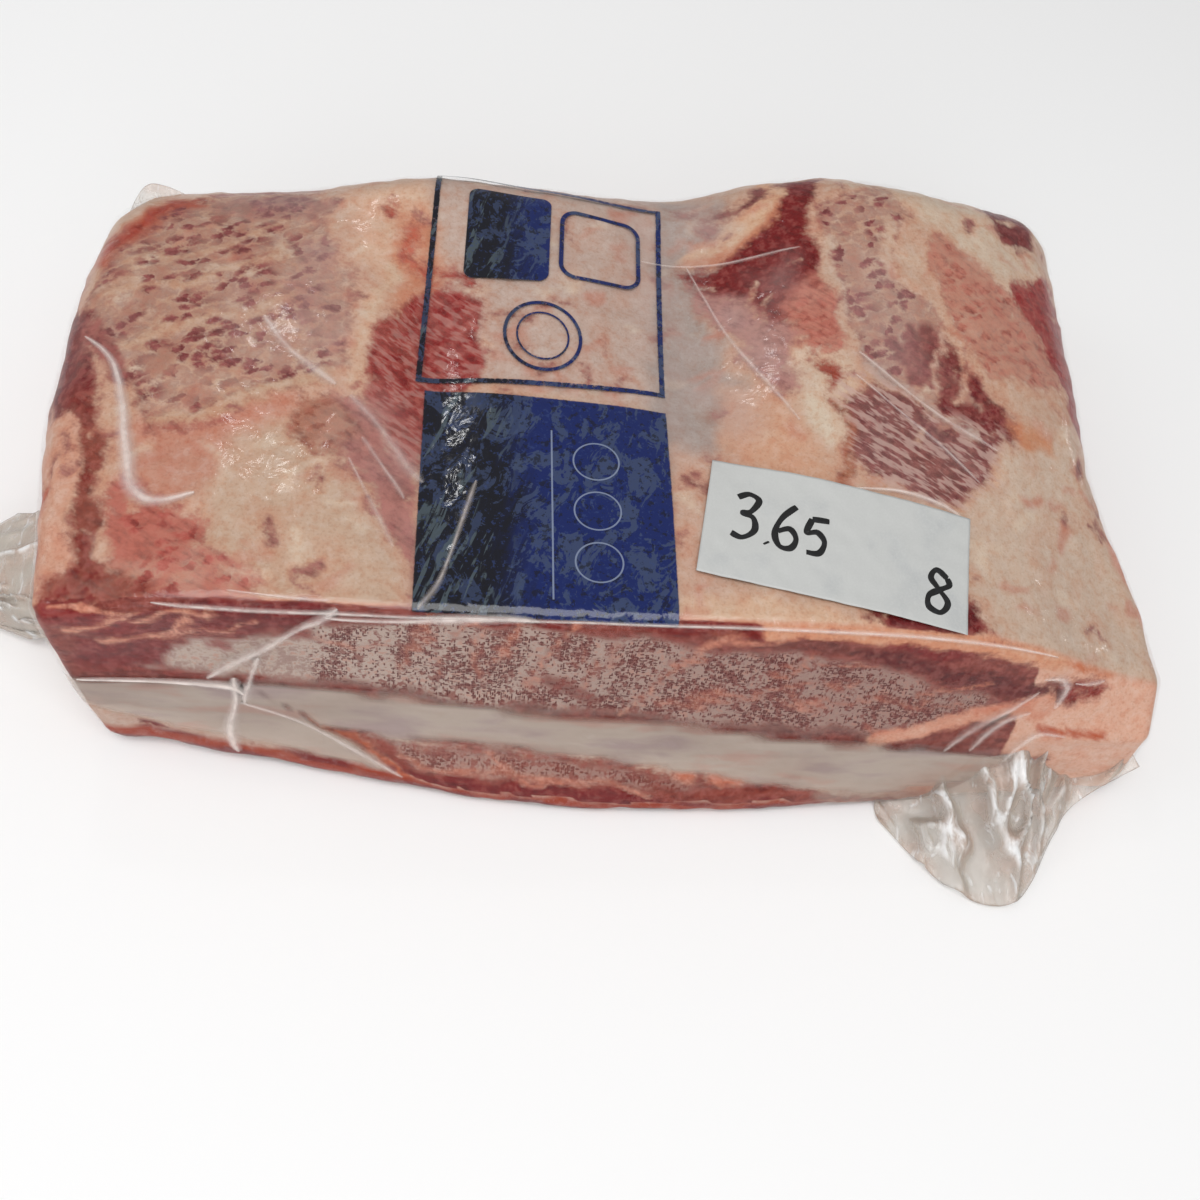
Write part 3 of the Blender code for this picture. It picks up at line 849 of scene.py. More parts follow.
def beef(mm, fine, tiny, streaks, network=None):
    """The colour of fat and lean where the painted depth parts them."""
    ragged = (fine - 0.5) * 4.6 + (streaks - 0.5) * 3.0 + (tiny - 0.5) * 1.4
    depth = painted(mm, "lean") + ragged
    share = depth.step(-2.0, 1.8)
    near = depth.step(-5.5, -1.0)
    fat = painted(mm, "fat_tone", 0)
    if network is not None:
        near = near * (1 - painted(mm, "network"))
    fat = fat.tinted((0.98, 0.78, 0.70), painted(mm, "blush") * 0.40)
    fat = fat.lightened((0.09, 0.10, 0.09), painted(mm, "cream") * 0.45)
    fat = fat.tinted((0.90, 0.70, 0.60), fine.step(0.50, 0.66) * 0.45)
    fat = fat.lightened((0.09, 0.10, 0.10), fine.step(0.48, 0.36) * 0.55)
    fat = fat.tinted((0.78, 0.70, 0.66), tiny.step(0.52, 0.70) * 0.40)
    fat = fat.tinted((0.96, 0.72, 0.63), near * 0.50)
    lean = painted(mm, "lean_tone", 0)
    lean = lean.tinted((0.56, 0.40, 0.42), streaks.step(0.46, 0.70) * 0.70)
    lean = lean.lightened((0.15, 0.058, 0.048), fine.step(0.47, 0.62) * 0.60)
    lean = lean.tinted((0.62, 0.42, 0.42), fine.step(0.46, 0.36) * 0.55)
    if network is not None:
        share = share * (1 - painted(mm, "network") * (1 - network))
    return fat.blend(lean, share)


def moist(shader, fine, tiny):
    """The surface of raw meat under film: half dull, and slightly uneven."""
    shader.inputs["Roughness"].default_value = 0.48
    shader.inputs["Specular IOR Level"].default_value = 0.2
    feed(shader, "Normal", (fine * 0.5 + tiny * 0.25).bump(0.5, 0.0005))


# The top and the ends. The fat network of a marbled muscle parts long cells of lean, each
# darker or paler than its neighbours.
finish, shader, mm = new_finish("marbled_beef")
tiny = mm.noise(0.8, 1)
fine = mm.noise(2.6, 3, 0.6)
streaks = mm.turned(0.55).stretched(0.26, 1.0, 1.0).noise(1.9, 2, 0.6)
fibres = mm.turned(-0.42)
sway_x = fibres.axis(0) * 0.55 + fine * 2.6 + painted(mm, "broad") * 3.0
sway_y = fibres.axis(1) + streaks * 2.8 + painted(mm, "cream") * 1.2
heart = sway_x.cells(sway_y, 0.34, 0.8)
dark_cell = (heart.beside(1).axis(0) + (painted(mm, "broad") - 0.5) * 1.4).step(0.15, 0.85)
inside_cell = (heart + (tiny - 0.5) * 0.5 + (fine - 0.5) * 0.5).step(0.74, 0.18)
ring_cell = inside_cell * (1 - inside_cell) * 4.0
cell_lean = inside_cell * (0.26 + 0.84 * dark_cell) + ring_cell * (1 - dark_cell) * 0.24
cell_lean = cell_lean.most(painted(mm, "blush") * 0.35 + 0.05)
flesh = beef(mm, fine, tiny, streaks, cell_lean)
# Pale shreds, with painted highlight streaks of the film on the cap foot.
flesh = flesh.blend(
    colour((184, 154, 144)), streaks.step(0.53, 0.40) * painted(mm, "shreds_and_highlights") * 0.8
)
# Painted sheen: the haze field greys the top, partly milky film and partly painted reflected
# light.
haze_and_sheen = painted(mm, "haze_and_reflection") * (0.35 + 1.3 * painted(mm, "broad"))
flesh = flesh.blend(colour((176, 154, 148)), (haze_and_sheen * 0.68).least(0.80))
feed(shader, "Base Color", flesh)
moist(shader, fine, tiny)
meat.data.materials.append(finish)

# The cut face. A grey haze over it, darker towards the right, is partly milky film and partly a
# painted reflection of the pale table, and a fine weave in it leaves dark specks in rows both
# ways.
finish, shader, mm = new_finish("cut_face_haze_and_reflection")
tiny = mm.noise(0.8, 1)
fine = mm.noise(2.6, 4, 0.68)
streaks = mm.stretched(0.35, 1.0, 1.0).noise(1.7, 2, 0.6)
flesh = beef(mm, fine, tiny, streaks)
across, upward = mm.axis(0), mm.axis(2)
crowd = painted(mm, "broad").step(0.30, 0.72)


def speck_rows(along_x, along_z, few, many):
    """Dashes in rows: how many to a millimetre across and upwards, and how thick."""
    spread = (across * along_x).cells(upward * along_z, 1.0, 0.85)
    dense = crowd * (many - few) + few
    return spread.step(0.58, 0.28) * (spread.beside(1).axis(0) - dense).step(0.05, -0.10)


dashes = speck_rows(1.7, 0.8, 0.16, 0.52).most(speck_rows(0.7, 1.6, 0.14, 0.50))
# Painted reflection: the grey veil of the cut face, darker towards the right.
dull = flesh.blend(colour((178, 160, 149)), 1.0)
dull = dull.blend(colour((148, 118, 109)), across.step(-80, 90) * 0.85)
blotch = (fine + crowd * 0.06).step(0.53, 0.61) * (painted(mm, "specks") * 0.45 + 0.3)
dull = dull.blend(colour((118, 54, 47)), blotch)
dull = dull.blend(colour((178, 120, 102)), fine.step(0.455, 0.37) * 0.45)
dull = dull.blend(colour((86, 33, 29)), dashes * painted(mm, "specks") * 0.92)
flesh = flesh.blend(dull, painted(mm, "haze_and_reflection"))
feed(shader, "Base Color", flesh)
moist(shader, fine, tiny)
meat.data.materials.append(finish)
outwards = np.array([face.normal for face in meat.data.polygons])
on_the_cut = (outwards[:, 1] < -0.42) & (outwards[:, 2] > -0.5)
meat.data.polygons.foreach_set("material_index", on_the_cut.astype(np.int32))


# The bag drawn tight
# The clear vacuum bag, shrunk onto the meat. It carries a navy print of plain fields and
# outlines, bridges the hollow of the lower front face, and is milky where it stands clear,
# which also stands for a painted reflection of the pale table on the lower front face.

BAG_CELLS = (160, 100, 42)
bag = cut_block("bag_film", BAG_CELLS)
skin = read_points(bag)
facing = read_points(bag, "normal")
frontness = ease(0.35, 0.7, -facing[:, 1])
# Where the film is milky, partly a painted reflection of the pale table: outlines of x and
# height on the front, and how strongly.
MILK_AND_REFLECTION = {
    "left": ([(-150, 33.5), (-140, 32), (-104, 35.5), (-84, 23), (-62, 10), (-72, 11),
              (-104, 14.5), (-122, 15.5), (-134, 18.5), (-150, 23)], 0.86),
    "middle": ([(-106, 35.5), (-80, 34.5), (-56, 33.5), (-28, 31.5), (23, 29.5), (53, 26.5),
                (98, 24), (120, 21), (112, 13), (88, 10), (66, 11), (44, 14), (14, 18),
                (-16, 21), (-39, 22), (-61, 21), (-84, 23.5)], 0.88),
    "right": ([(60, 11), (112, 14), (120, 8), (108, 3), (84, 4), (62, 6)], 0.44),
}
sway = np.stack([ripples(skin, 14, seed) for seed in (43, 44)], axis=1) * 0.8
milk_and_reflection = np.zeros(len(skin))
for outline, strength in MILK_AND_REFLECTION.values():
    share = ease(-0.8, 1.0, depth_in(skin[:, [0, 2]] + sway * [1, 0.4], outline))
    milk_and_reflection = np.maximum(milk_and_reflection, strength * share * frontness)
milk_and_reflection *= 1 - 0.12 * ripples(skin * [0.3, 1, 1], 16, 41)
write_points(bag, skin + facing * (0.10 * ripples(skin, 30, 42) - 0.15)[:, None])
keep_fields(bag, {"milk_and_reflection": np.clip(milk_and_reflection, 0, 0.9)})
settle(bag)


MOST_GLOSS = 0.20


def glossy_film(shader, mm, paint=None, opaque=None):
    """Clear film shows only its gloss, and its paint where it is printed or milky."""
    wrinkle = mm.noise(7, 3, 0.42, 0.5) * 1.1
    bump = wrinkle.bump(0.4, 0.0012)
    sheen = wrinkle.node("ShaderNodeFresnel", {}, {"IOR": 1.45, "Normal": bump})
    gloss = (sheen * 0.62).least(MOST_GLOSS)
    shader.inputs["Roughness"].default_value = 0.13
    feed(shader, "Normal", bump)
    if paint is None:
        shader.inputs["Base Color"].default_value = (1, 1, 1, 1)
        shader.inputs["Metallic"].default_value = 1
        feed(shader, "Alpha", gloss)
    else:
        bare = opaque.step(0.2, 0.0)
        feed(shader, "Base Color", paint.blend((1, 1, 1, 1), bare))
        feed(shader, "Metallic", bare)
        feed(shader, "Alpha", gloss.most(opaque))


finish, shader, mm = new_finish("clear_film")
glossy_film(shader, mm)
bag.data.materials.append(finish)

finish, shader, mm = new_finish("printed_film")
here = mm.moved(-PLACE[0], -PLACE[1], 0.0)
across, deep = here.axis(0), here.axis(1)


def plate(centre_x, centre_y, half_x, half_y, lean_x=0.0, lean_y=0.0, corner=0.0):
    """Distance outside a rounded rectangle on the top of the bag, in millimetres."""
    out_x = abs(across - deep * lean_x - centre_x) - (half_x - corner)
    out_y = abs(deep - across * lean_y - centre_y) - (half_y - corner)
    if corner == 0.0:
        return out_x.most(out_y)
    round_part = (out_x.most(0.0) ** 2.0 + out_y.most(0.0) ** 2.0) ** 0.5
    return round_part + out_x.most(out_y).least(0.0) - corner


def ring(centre_x, centre_y, radius_x, radius_y):
    around = ((across - centre_x) * (1 / radius_x)) ** 2.0
    around = around + ((deep - centre_y) * (1 / radius_y)) ** 2.0
    return ((around ** 0.5) - 1.0) * radius_x


# The print: an outlined field at the back with a square, a plate and a round mark in it, and
# a full field in front with a thin line and three rings.
small = mm.noise(1.3, 3, 0.65)
edge_wobble = (small - 0.5) * 0.5
upper_frame = abs(plate(-24.5, 37.2, 35.2, 38.4, 0.045, 0.03))
upper_frame = (upper_frame + edge_wobble).step(0.95, 0.65)
upper_square = plate(-37.0, 55.2, 12.6, 16.3, 0.04, 0.10, 3.0).step(0.3, 0.0)
side_plate = abs(plate(-8.2, 53.5, 12.4, 13.2, 0.04, 0.03, 5.0)).step(0.85, 0.55)
round_mark = abs(ring(-24.6, 15.5, 11.2, 12.4)).step(0.65, 0.40)
round_mark = round_mark.most(abs(ring(-24.6, 15.5, 7.6, 8.6)).step(0.40, 0.20))
lower_block = (plate(-23.3, -42.1, 34.5, 34.5, 0.008, -0.02) + edge_wobble).step(0.3, -0.1)
thin_line = plate(-22.4, -44.5, 0.18, 26.5, 0.0, 0.0).step(0.12, 0.0)
for middle in (-27.5, -43.5, -59.5):
    thin_line = thin_line.most(abs(ring(-10.0, middle, 6.4, 6.0)).step(0.30, 0.16))
lines = upper_frame.most(side_plate).most(round_mark) * (0.55 + 0.45 * small.step(0.66, 0.56))
print_mask = lines.most(upper_square).most(lower_block)

# Where the film wets out on the meat the ink is nearly black, and elsewhere it is bluer.
slanted = mm.turned(0.35)
blotch = slanted.stretched(1.0, 0.6, 1).noise(6.5, 5, 0.68, 0.8)
smear = slanted.stretched(1.3, 0.22, 1).noise(4.5, 3, 0.62, 0.5)
left_dark = (across + (smear - 0.5) * 24).step(-24, -40)
ink = plain(shader, (32, 44, 90)).blend(colour((24, 26, 36)), left_dark * 0.94)
ink = ink.blend(colour((62, 72, 98)), blotch.step(0.515, 0.54) * (0.85 - 0.25 * left_dark))
ink = ink.blend(colour((78, 88, 94)), smear.step(0.55, 0.59) * left_dark * 0.75)
ink = ink.blend(colour((16, 19, 38)), mm.noise(2.0, 4, 0.65).step(0.55, 0.60) * 0.70)
ink = ink.blend(colour((56, 70, 112)), small.step(0.58, 0.64) * 0.45)
ink = ink.blend(colour((128, 138, 160)), thin_line * 0.8)
glossy_film(shader, mm, ink, print_mask * 0.98)
bag.data.materials.append(finish)

finish, shader, mm = new_finish("milky_film_and_reflection")
cloud = mm.stretched(0.25, 1, 1).noise(7, 3)
# Painted reflection: this cream stands partly for the pale table seen in the film.
cream = plain(shader, (174, 160, 149))
cream = cream.blend(colour((150, 132, 130)), cloud.step(0.50, 0.70) * 0.8)
cream = cream.blend(colour((184, 146, 134)), cloud.step(0.46, 0.34) * 0.5)
glossy_film(shader, mm, cream, painted(mm, "milk_and_reflection") * (0.60 + 0.6 * cloud))
bag.data.materials.append(finish)

# Which faces are printed, between these bounds of the top, and which may be milky and
# carry the painted reflection.
PRINT_LEFT, PRINT_RIGHT, PRINT_FRONT, PRINT_BACK = -64, 16, -80, 86
MILK_AND_REFLECTION_BELOW = 40
kinds = np.zeros(len(bag.data.polygons), dtype=np.int32)
middles = np.array([face.center for face in bag.data.polygons]) * 1000 - PLACE
outwards = np.array([face.normal for face in bag.data.polygons])
printed = (middles[:, 0] > PRINT_LEFT) & (middles[:, 0] < PRINT_RIGHT)
printed &= (middles[:, 1] > PRINT_FRONT) & (middles[:, 1] < PRINT_BACK)
kinds[printed & (outwards[:, 2] > 0.05)] = 1
low = (middles[:, 2] < MILK_AND_REFLECTION_BELOW) & (middles[:, 2] > 0)
kinds[low & (outwards[:, 1] < -0.2)] = 2
bag.data.polygons.foreach_set("material_index", kinds)
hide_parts("sealed_roast")


# The bag's loose corners
# Beyond the meat the two sheets of the bag lie flat on each other and ruck up in pleats:
# a tail at the right front, an ear at the left front, and small corners at the back.

# Where each leaves the meat, its outer rim, and how many pleats it has, how high they stand
# and how far it sags.
LOOSE_CORNERS = {
    "film_tail": (
        [(81.9, -89.5, 5.7), (102.9, -81.9, 19.1), (123.8, -74.3, 32.4), (142.9, -70.5, 32.4),
         (152.4, -66.7, 28.6)],
        [(83.8, -108.6, 1.9), (102.9, -129.5, 1.9), (123.8, -133.3, 1.9),
         (143.8, -106.7, 5.7), (164.8, -95.3, 17.1)],
        4.5, 7.0, 2.4,
    ),
    "film_ear": (
        [(-150.5, -28.6, 28.6), (-149.5, -45.7, 32.4), (-144.8, -66.7, 34.3),
         (-142.9, -62.9, 21.0)],
        [(-179.1, -19.1, 9.5), (-195.3, -32.4, 5.7), (-193.4, -47.6, 3.8),
         (-169.5, -59.1, 5.7)],
        3.5, 3.6, 0.0,
    ),
    "film_back_left": (
        [(-148.0, 40.0, 54.0), (-140.0, 52.0, 54.0), (-122.0, 60.0, 54.0)],
        [(-149.5, 48.0, 58.0), (-144.5, 68.5, 60.0), (-130.0, 66.0, 59.0)],
        1.5, 0.5, 0.0,
    ),
    "film_back_right": (
        [(142.9, 57.1, 11.0), (139.1, 70.5, 12.0), (125.7, 81.9, 11.0)],
        [(158.1, 81.9, 3.0), (152.4, 99.1, 2.0), (131.4, 102.9, 3.0)],
        2.5, 1.2, 0.0,
    ),
}


TWO_FILMS_THICK = 0.35
FAN_CELLS = (110, 48)


def new_grid(name, cells_along, cells_across):
    """A flat grid 2 across, the only thing selected."""
    bpy.ops.object.select_all(action="DESELECT")
    bpy.ops.mesh.primitive_grid_add(
        x_subdivisions=cells_along, y_subdivisions=cells_across, size=2
    )
    made = bpy.context.object
    made.name = name
    return made


def thicken(sheet, thickness, offset):
    """Give a sheet its thickness, about it for offset 0 and outwards for 1."""
    bpy.context.view_layer.objects.active = sheet
    solid = sheet.modifiers.new("thickness", "SOLIDIFY")
    solid.thickness, solid.offset = thickness, offset
    bpy.ops.object.modifier_apply(modifier=solid.name)


def along(route, share):
    """The point at a share of the way along a list of points, on a smooth curve."""
    place = share * (len(route) - 1)
    index = min(int(place), len(route) - 2)
    before = np.array(route[max(index - 1, 0)])
    start, end = np.array(route[index]), np.array(route[index + 1])
    after = np.array(route[min(index + 2, len(route) - 1)])
    t = place - index
    return 0.5 * (
        2 * start
        + (end - before) * t
        + (2 * before - 5 * start + 4 * end - after) * t * t
        + (3 * start - before - 3 * end + after) * t**3
    )


def loose_corner(name, root, rim, pleats, pleat_height, droop):
    """A fan of film from the meat to its rim, ruffled into pleats."""
    fan = new_grid(name, *FAN_CELLS)
    points = read_points(fan)
    rucks = ripples(points * [1, 0.25, 0], 0.34, 51) + 0.6 * ripples(points, 0.5, 52)
    ridges = np.zeros(len(points))
    for index, (u, v, _) in enumerate(points):
        side, reach = (u + 1) / 2, (v + 1) / 2
        spot = along(root, side) * (1 - reach) + along(rim, side) * reach
        swell = math.sin(reach * math.pi)
        ridge = (1 - abs(math.sin(side * pleats * math.pi + 0.8 * rucks[index]))) ** 1.6
        ridges[index] = ridge * ease(0.12, 0.4, reach) * ease(1.0, 0.8, reach)
        wave = (ridge - 0.3) * pleat_height * (0.3 + 0.7 * swell) * ease(0.12, 0.6, reach)
        spot[2] += wave - droop * swell + 0.45 * rucks[index] * swell * reach
        spot[2] = max(spot[2], 0.5)
        points[index] = spot
    write_points(fan, points)
    keep_fields(fan, {"ridge": ridges})
    thicken(fan, TWO_FILMS_THICK, 0)
    settle(fan)
    return fan


finish, shader, mm = new_finish("loose_clear_film")
ruck = mm.stretched(1.0, 0.35, 0.6).noise(3.2, 3, 0.55, 0.6)
bump = ruck.bump(0.6, 0.0012)
sheen = ruck.node("ShaderNodeFresnel", {}, {"IOR": 1.5, "Normal": bump})
# Painted highlights: white streaks along pleats and rucks; pinkish painted reflection in
# clouds.
cloud = mm.noise(9, 3).step(0.35, 0.7)
pleat = painted(mm, "ridge").step(0.45, 0.95) * ruck.step(0.36, 0.60)
film_and_painted_highlights = plain(shader, (206, 198, 188)).blend(colour((214, 176, 158)), cloud * 0.35)
film_and_painted_highlights = film_and_painted_highlights.blend(colour((255, 252, 248)), pleat.most(ruck.step(0.56, 0.7)))
feed(shader, "Base Color", film_and_painted_highlights)
shader.inputs["Roughness"].default_value = 0.16
# The film is more opaque where its painted highlights lie.
film = 0.24 + 0.14 * cloud + ruck.step(0.58, 0.72) * 0.16 + pleat * 0.36
feed(shader, "Alpha", (film + sheen * 0.6).least(1.0))
feed(shader, "Normal", bump)
for name, (root, rim, pleats, pleat_height, droop) in LOOSE_CORNERS.items():
    corner = loose_corner(name, root, rim, pleats, pleat_height, droop)
    corner.data.materials.append(finish)


# Creases in the film
# Where the bag had more film than the meat needed it is pinched into thin creases and
# pleats. Each is a narrow tapered ribbon of film that lies on the bag and peaks along its
# middle, and all are joined into one piece. Each ribbon's whitish middle is a painted
# highlight.

bag_points = [Vector(p) for p in (read_points(bag) * 1000 - PLACE)]
bag_tree = BVHTree.FromPolygons(bag_points, [tuple(f.vertices) for f in bag.data.polygons])


def on_top(x, y):
    return bag_tree.ray_cast(Vector((x, y, 200)), Vector((0, 0, -1)))


def on_front(x, z):
    return bag_tree.ray_cast(Vector((x, -300, z)), Vector((0, 1, 0)))


# The line that each crease follows, half its width, how high its ridge stands, and how
# strongly its painted highlight shows.
CREASES = {
    "left curve": (on_top, [(-150, 4), (-142, -4), (-138, -14), (-135, -27), (-132, -39),
                            (-129, -45), (-124, -47), (-115, -45)], 2.6, 0.55),
    "cap point a": (on_top, [(7, 53), (23, 53), (38, 52), (56, 54)], 0.9, 0.35, 0.5),
    "cap point b": (on_top, [(22, 53), (27, 39), (33, 22), (41, 6), (50, -10)], 1.3, 0.40,
                    0.42),
    "eye crease": (on_top, [(-103, 12), (-96, 2), (-89, -4), (-82, -9)], 2.6, 0.40, 0.5),
    "mauve fold a": (on_top, [(-78, -12), (-71, -19), (-64, -28), (-57, -37)], 3.0, 0.35,
                     0.35),
    "mauve fold b": (on_top, [(-74, -25), (-68, -34), (-62, -43)], 1.4, 0.30, 0.35),
    "mauve fold c": (on_top, [(-77, -32), (-71, -44), (-64, -58)], 1.4, 0.25, 0.3),
    "print crease": (on_top, [(-43, -36), (-47, -52), (-52, -68), (-57, -75)], 1.4, 0.35, 0.5),
    "cap fold a": (on_top, [(70, 14), (82, 4), (96, -6), (112, -14)], 1.2, 0.35, 0.5),
    "cap fold b": (on_top, [(68, 6), (80, -4), (92, -14), (104, -26)], 1.0, 0.30, 0.5),
    "label fold": (on_top, [(62, -32), (78, -32), (92, -36), (98, -42)], 1.1, 0.35),
    "fold line": (on_top, [(-122, -75.6), (-110, -76.3), (-81, -76.5), (-56, -76.5),
                           (0, -76.5), (60, -76.5), (96, -77), (122, -77)],
                  1.0, 0.50, 0.9),
    "fold line upper": (on_top, [(-104, -72.5), (-92, -73.5), (-79, -74)], 0.7, 0.35, 0.6),
    "fold band": (on_front, [(-80, 64), (-62, 63.5), (-46, 64.5), (-26, 64.5)], 1.8, 0.5),
    "ridge left": (on_front, [(-146, 33), (-124, 34), (-108, 33.5), (-103, 31)], 2.0, 0.9,
                   1.5),
    "pleat down": (on_front, [(-77, 66), (-86, 60), (-97, 49), (-112, 36)], 2.8, 0.8, 0.85),
    "pleat low": (on_front, [(-98, 46), (-101, 36), (-103, 28)], 2.2, 0.6, 0.8),
    "pleat foot": (on_front, [(-105, 37), (-105, 29), (-107, 18), (-106, 9)], 3.0, 0.9,
                   1.1),
    "pleat long": (on_front, [(-104, 28), (-88, 23), (-75, 17), (-60, 9)], 1.6, 0.4, 0.7),
    "knot pleat": (on_front, [(120, 45), (113, 39), (105, 32), (98, 24)], 2.2, 0.6, 0.5),
    "knot a": (on_front, [(120, 49), (125, 48.5), (128, 45), (127, 39)], 2.2, 0.8, 0.65),
    "knot b": (on_front, [(131, 46), (136, 45), (141, 45)], 1.2, 0.4, 0.6),
    "low right a": (on_front, [(120, 38), (112, 34), (106, 24)], 2.0, 0.4, 0.5),
    "low right b": (on_front, [(134, 30), (124, 30), (118, 20)], 2.0, 0.4, 0.5),
}
RIBBON_THICK, RIBBON_LIFT = 0.10, 0.08
# Cells of a ribbon between two points of its line, and across it.
CELLS_A_POINT, CELLS_ACROSS = 12, 8


def crease(name, find, line, half_width, ridge, strength=1.0):
    """A tapered ribbon of film along a line on the bag, raised along its middle."""
    steps = CELLS_A_POINT * (len(line) - 1)
    made = new_grid(name, steps, CELLS_ACROSS)
    chance = np.random.default_rng(len(name) + int(abs(line[0][0])))
    wander = np.cumsum(chance.normal(size=steps + 1)) * 0.03
    width = half_width * (1 + 0.35 * np.sin(np.linspace(chance.uniform(0, 6), 9, steps + 1)))
    route = [(*point, 0.0) for point in line]
    flat = [along(route, index / steps) for index in range(steps + 1)]
    spots = [find(point[0], point[1])[0] for point in flat]
    known = [spot for spot in spots if spot is not None]
    spots = [spot or known[0] for spot in spots]
    points = read_points(made)
    core = np.zeros(len(points))
    for index, (u, v, _) in enumerate(points):
        step = int(round((u + 1) / 2 * steps))
        ahead = (spots[min(step + 1, steps)] - spots[max(step - 1, 0)]).normalized()
        _, outward, _, _ = bag_tree.find_nearest(spots[step])
        side = outward.cross(ahead).normalized()
        taper = math.sin(math.pi * min(max(step / steps, 0.01), 0.99)) ** 0.4
        edge = spots[step] + side * (v + wander[step]) * width[step] * taper
        foot, outward, _, _ = bag_tree.find_nearest(edge)
        core[index] = 1 - abs(v)
        rise = RIBBON_LIFT + ridge * taper * (1 - v * v) ** 2
        points[index] = foot + outward * rise
    write_points(made, points)
    keep_fields(made, {"core": core, "strength": np.full(len(core), strength)})
    return made


def pick(pieces):
    """Select these pieces and nothing else, with the first of them active."""
    bpy.ops.object.select_all(action="DESELECT")
    for piece in pieces:
        piece.select_set(True)
    bpy.context.view_layer.objects.active = pieces[0]


pick([crease("crease_" + name.replace(" ", "_"), *how) for name, how in CREASES.items()])
bpy.ops.object.join()
creases = bpy.context.object
creases.name = "film_creases"
thicken(creases, RIBBON_THICK, 1)
settle(creases)
finish, shader, mm = new_finish("creased_clear_film")
shader.inputs["Base Color"].default_value = colour((232, 220, 214))
shader.inputs["Roughness"].default_value = 0.2
# Painted highlight: the pale ribbon shows most along its middle, in broken streaks.
highlight_breaks = mm.noise(6, 3, 0.6).step(0.40, 0.62)
core = painted(mm, "core")
soft = core.step(0.0, 0.9) * 0.18 + core.step(0.55, 1.0) * (0.14 + 0.20 * highlight_breaks)
feed(shader, "Alpha", soft * painted(mm, "strength"))
creases.data.materials.append(finish)


# The weight label
# A white paper sticker pressed on the film, slightly rucked, with plain figures written on
# it in black marker. The figures are flat strokes of ink on the paper.

LABEL_LENGTH, LABEL_WIDTH, LABEL_THICK = 76.2, 38.1, 0.14
LABEL_TURN = math.radians(-11.7)
LABEL_LIFT = 0.45
LABEL_CELLS = (100, 52)


def on_label(u, v):
    """A place on the sticker, from millimetres along and across it."""
    x = LABEL_MIDDLE[0] + u * math.cos(LABEL_TURN) - v * math.sin(LABEL_TURN)
    y = LABEL_MIDDLE[1] + u * math.sin(LABEL_TURN) + v * math.cos(LABEL_TURN)
    spot = np.stack([x, y, 0 * x], axis=-1).reshape(-1, 3)
    ruck = 0.10 * ripples(spot, 18, 61) + 0.07 * ripples(spot, 6, 62)
    height = top_height(x, y) + LABEL_LIFT + ruck.reshape(np.shape(x))
    return np.stack([x, y, height], axis=-1)


label = new_grid("paper_label", *LABEL_CELLS)
grid = read_points(label)
write_points(label, on_label(grid[:, 0] * LABEL_LENGTH / 2, grid[:, 1] * LABEL_WIDTH / 2))
thicken(label, LABEL_THICK, 1)
settle(label)
finish, shader, mm = new_finish("label_paper")
fibre = mm.noise(0.7, 4, 0.65)
damp = mm.noise(14, 3).step(0.5, 0.7)
paper = plain(shader, (184, 185, 183)).blend(colour((172, 174, 174)), damp * 0.7)
feed(shader, "Base Color", paper.blend(colour((190, 191, 189)), fibre.step(0.4, 0.7) * 0.5))
shader.inputs["Roughness"].default_value = 0.5
feed(shader, "Normal", fibre.bump(0.15, 0.0002))
label.data.materials.append(finish)
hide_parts("weight_label")

# Strokes of the figures, in millimetres along and across the label.
FIGURES = {
    "three": [(-29.5, 7.5), (-26.5, 9.3), (-23.6, 7.6), (-25.4, 3.6), (-27.6, 2.6),
              (-24.6, 1.6), (-23.9, -2.4), (-27.0, -5.4), (-30.2, -4.6)],
    "point": [(-20.4, -5.4), (-20.0, -5.9)],
    "six": [(-13.0, 8.0), (-16.6, 3.6), (-18.2, -1.6), (-16.6, -5.6), (-13.4, -5.6),
            (-12.2, -2.4), (-14.2, 0.4), (-17.4, -1.0)],
    "five": [(-8.2, 5.2), (-9.4, 0.6), (-6.4, 1.2), (-4.2, -1.4), (-5.4, -5.2),
             (-9.0, -5.8)],
    "five top": [(-8.2, 5.2), (-3.4, 5.6)],
    "eight": [(31.6, -3.0), (28.4, -1.2), (26.8, -4.2), (29.4, -7.4), (32.0, -11.0),
              (30.0, -14.4), (26.6, -13.4), (26.4, -10.0), (29.4, -7.4), (32.2, -5.2),
              (31.6, -3.0)],
}
INK_RADIUS, INK_FLATTENED, INK_LIFT = 1.0, 0.06, 0.01
strokes = []
for name, line in FIGURES.items():
    curve = bpy.data.curves.new("figure_" + name.replace(" ", "_"), "CURVE")
    curve.dimensions = "3D"
    spline = curve.splines.new("POLY")
    steps = 10 * (len(line) - 1)
    spline.points.add(steps)
    route = [(*point, 0.0) for point in line]
    for index, point in enumerate(spline.points):
        flat = along(route, index / steps)
        spot = on_label(np.array(flat[0]), np.array(flat[1]))
        point.co = (*(spot + [0, 0, LABEL_THICK]), 1.0)
        point.radius = 0.88 + 0.12 * math.sin(index * 0.35)
    curve.bevel_depth = INK_RADIUS
    curve.bevel_resolution = 3
    curve.use_fill_caps = True
    stroke = bpy.data.objects.new(curve.name, curve)
    bpy.context.scene.collection.objects.link(stroke)
    strokes.append(stroke)
pick(strokes)
bpy.ops.object.convert(target="MESH")
bpy.ops.object.join()
figures = bpy.context.object
figures.name = "marker_figures"
points = read_points(figures)
from_x, from_y = points[:, 0] - LABEL_MIDDLE[0], points[:, 1] - LABEL_MIDDLE[1]
on_paper = on_label(
    from_x * math.cos(LABEL_TURN) + from_y * math.sin(LABEL_TURN),
    from_y * math.cos(LABEL_TURN) - from_x * math.sin(LABEL_TURN),
)[:, 2] + LABEL_THICK
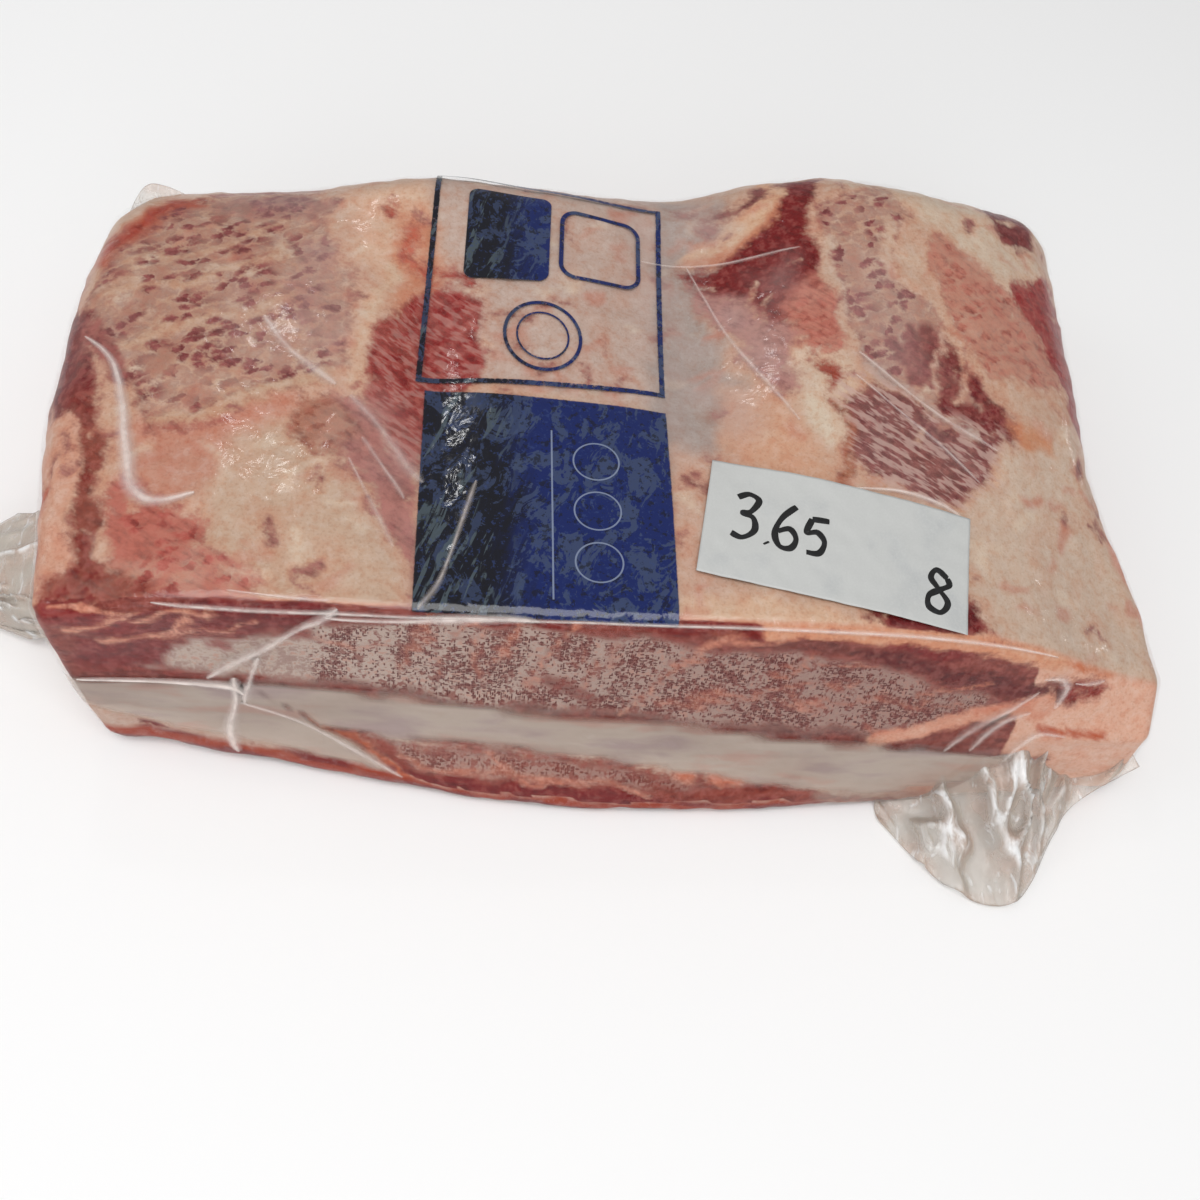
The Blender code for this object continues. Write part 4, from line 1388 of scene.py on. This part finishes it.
points[:, 2] = on_paper + (points[:, 2] - on_paper) * INK_FLATTENED + INK_LIFT
write_points(figures, points)
settle(figures)
finish, shader, mm = new_finish("black_marker")
worn = mm.noise(1.5, 2).step(0.45, 0.7) * 0.5
feed(shader, "Base Color", plain(shader, (28, 30, 32)).blend(colour((44, 46, 50)), worn))
shader.inputs["Roughness"].default_value = 0.45
figures.data.materials.append(finish)


# Table, light and camera
# A plain pale table, soft light from large panels overhead, and the camera where the
# photograph was taken from, a little to the left of the middle and looking down.

TABLE_SIZE, TABLE_TOP = 6, -0.0002
SKY_STRENGTH = 0.42
bpy.ops.object.select_all(action="DESELECT")
bpy.ops.mesh.primitive_plane_add(size=TABLE_SIZE, location=(0, 0, TABLE_TOP))
table = bpy.context.object
table.name = "table"
finish, shader, mm = new_finish("pale_table")
shader.inputs["Base Color"].default_value = (0.93, 0.93, 0.93, 1)
shader.inputs["Roughness"].default_value = 0.8
table.data.materials.append(finish)

bpy.context.scene.view_settings.view_transform = "Standard"
world = bpy.data.worlds.new("studio")
bpy.context.scene.world = world
world.use_nodes = True
sky = world.node_tree.nodes["Background"].inputs
sky["Color"].default_value = (1, 1, 1, 1)
sky["Strength"].default_value = SKY_STRENGTH

# Each lamp's place, what it points at, its width and depth in metres, and its watts.
LAMPS = {
    "overhead panel": ((-0.15, -0.40, 1.5), (0, 0, 0), 1.2, 0.8, 13.5),
    "front panel": ((-0.25, -1.4, 0.75), (0, 0, 0), 1.4, 0.9, 4.5),
    "left panel": ((-1.3, 0.1, 0.9), (0, 0, 0), 0.8, 0.8, 1.5),
    "window": ((-0.32, 0.85, 1.2), (0.0, 0, 0.05), 0.08, 0.05, 0.40),
    "side window": ((1.4, 0.62, 0.28), (0.1, 0, 0.05), 0.10, 0.10, 0.22),
}
for name, (place, aim, width, depth, power) in LAMPS.items():
    bpy.ops.object.light_add(type="AREA", location=place)
    lamp = bpy.context.object
    lamp.name = name
    lamp.rotation_euler = (Vector(aim) - Vector(place)).to_track_quat("-Z", "Y").to_euler()
    lamp.data.shape = "RECTANGLE"
    lamp.data.size, lamp.data.size_y = width, depth
    lamp.data.energy = power

# The camera, fitted to the label's corners and the pack's outline.
CAMERA_X, CAMERA_Y, CAMERA_Z = -52.39, -210.03, 334.33
CAMERA_TURN = (27.45, -8.09, -1.68)
CAMERA_LENS, SENSOR_WIDTH = 35.097, 36.0
camera_data = bpy.data.cameras.new("camera")
camera = bpy.data.objects.new("camera", camera_data)
bpy.context.scene.collection.objects.link(camera)
bpy.context.scene.camera = camera
camera_data.sensor_fit = "HORIZONTAL"
camera_data.sensor_width = SENSOR_WIDTH
camera_data.lens = CAMERA_LENS
camera.location = (np.array([CAMERA_X, CAMERA_Y, CAMERA_Z]) + PLACE) / 1000
camera.rotation_euler = [math.radians(turn) for turn in CAMERA_TURN]
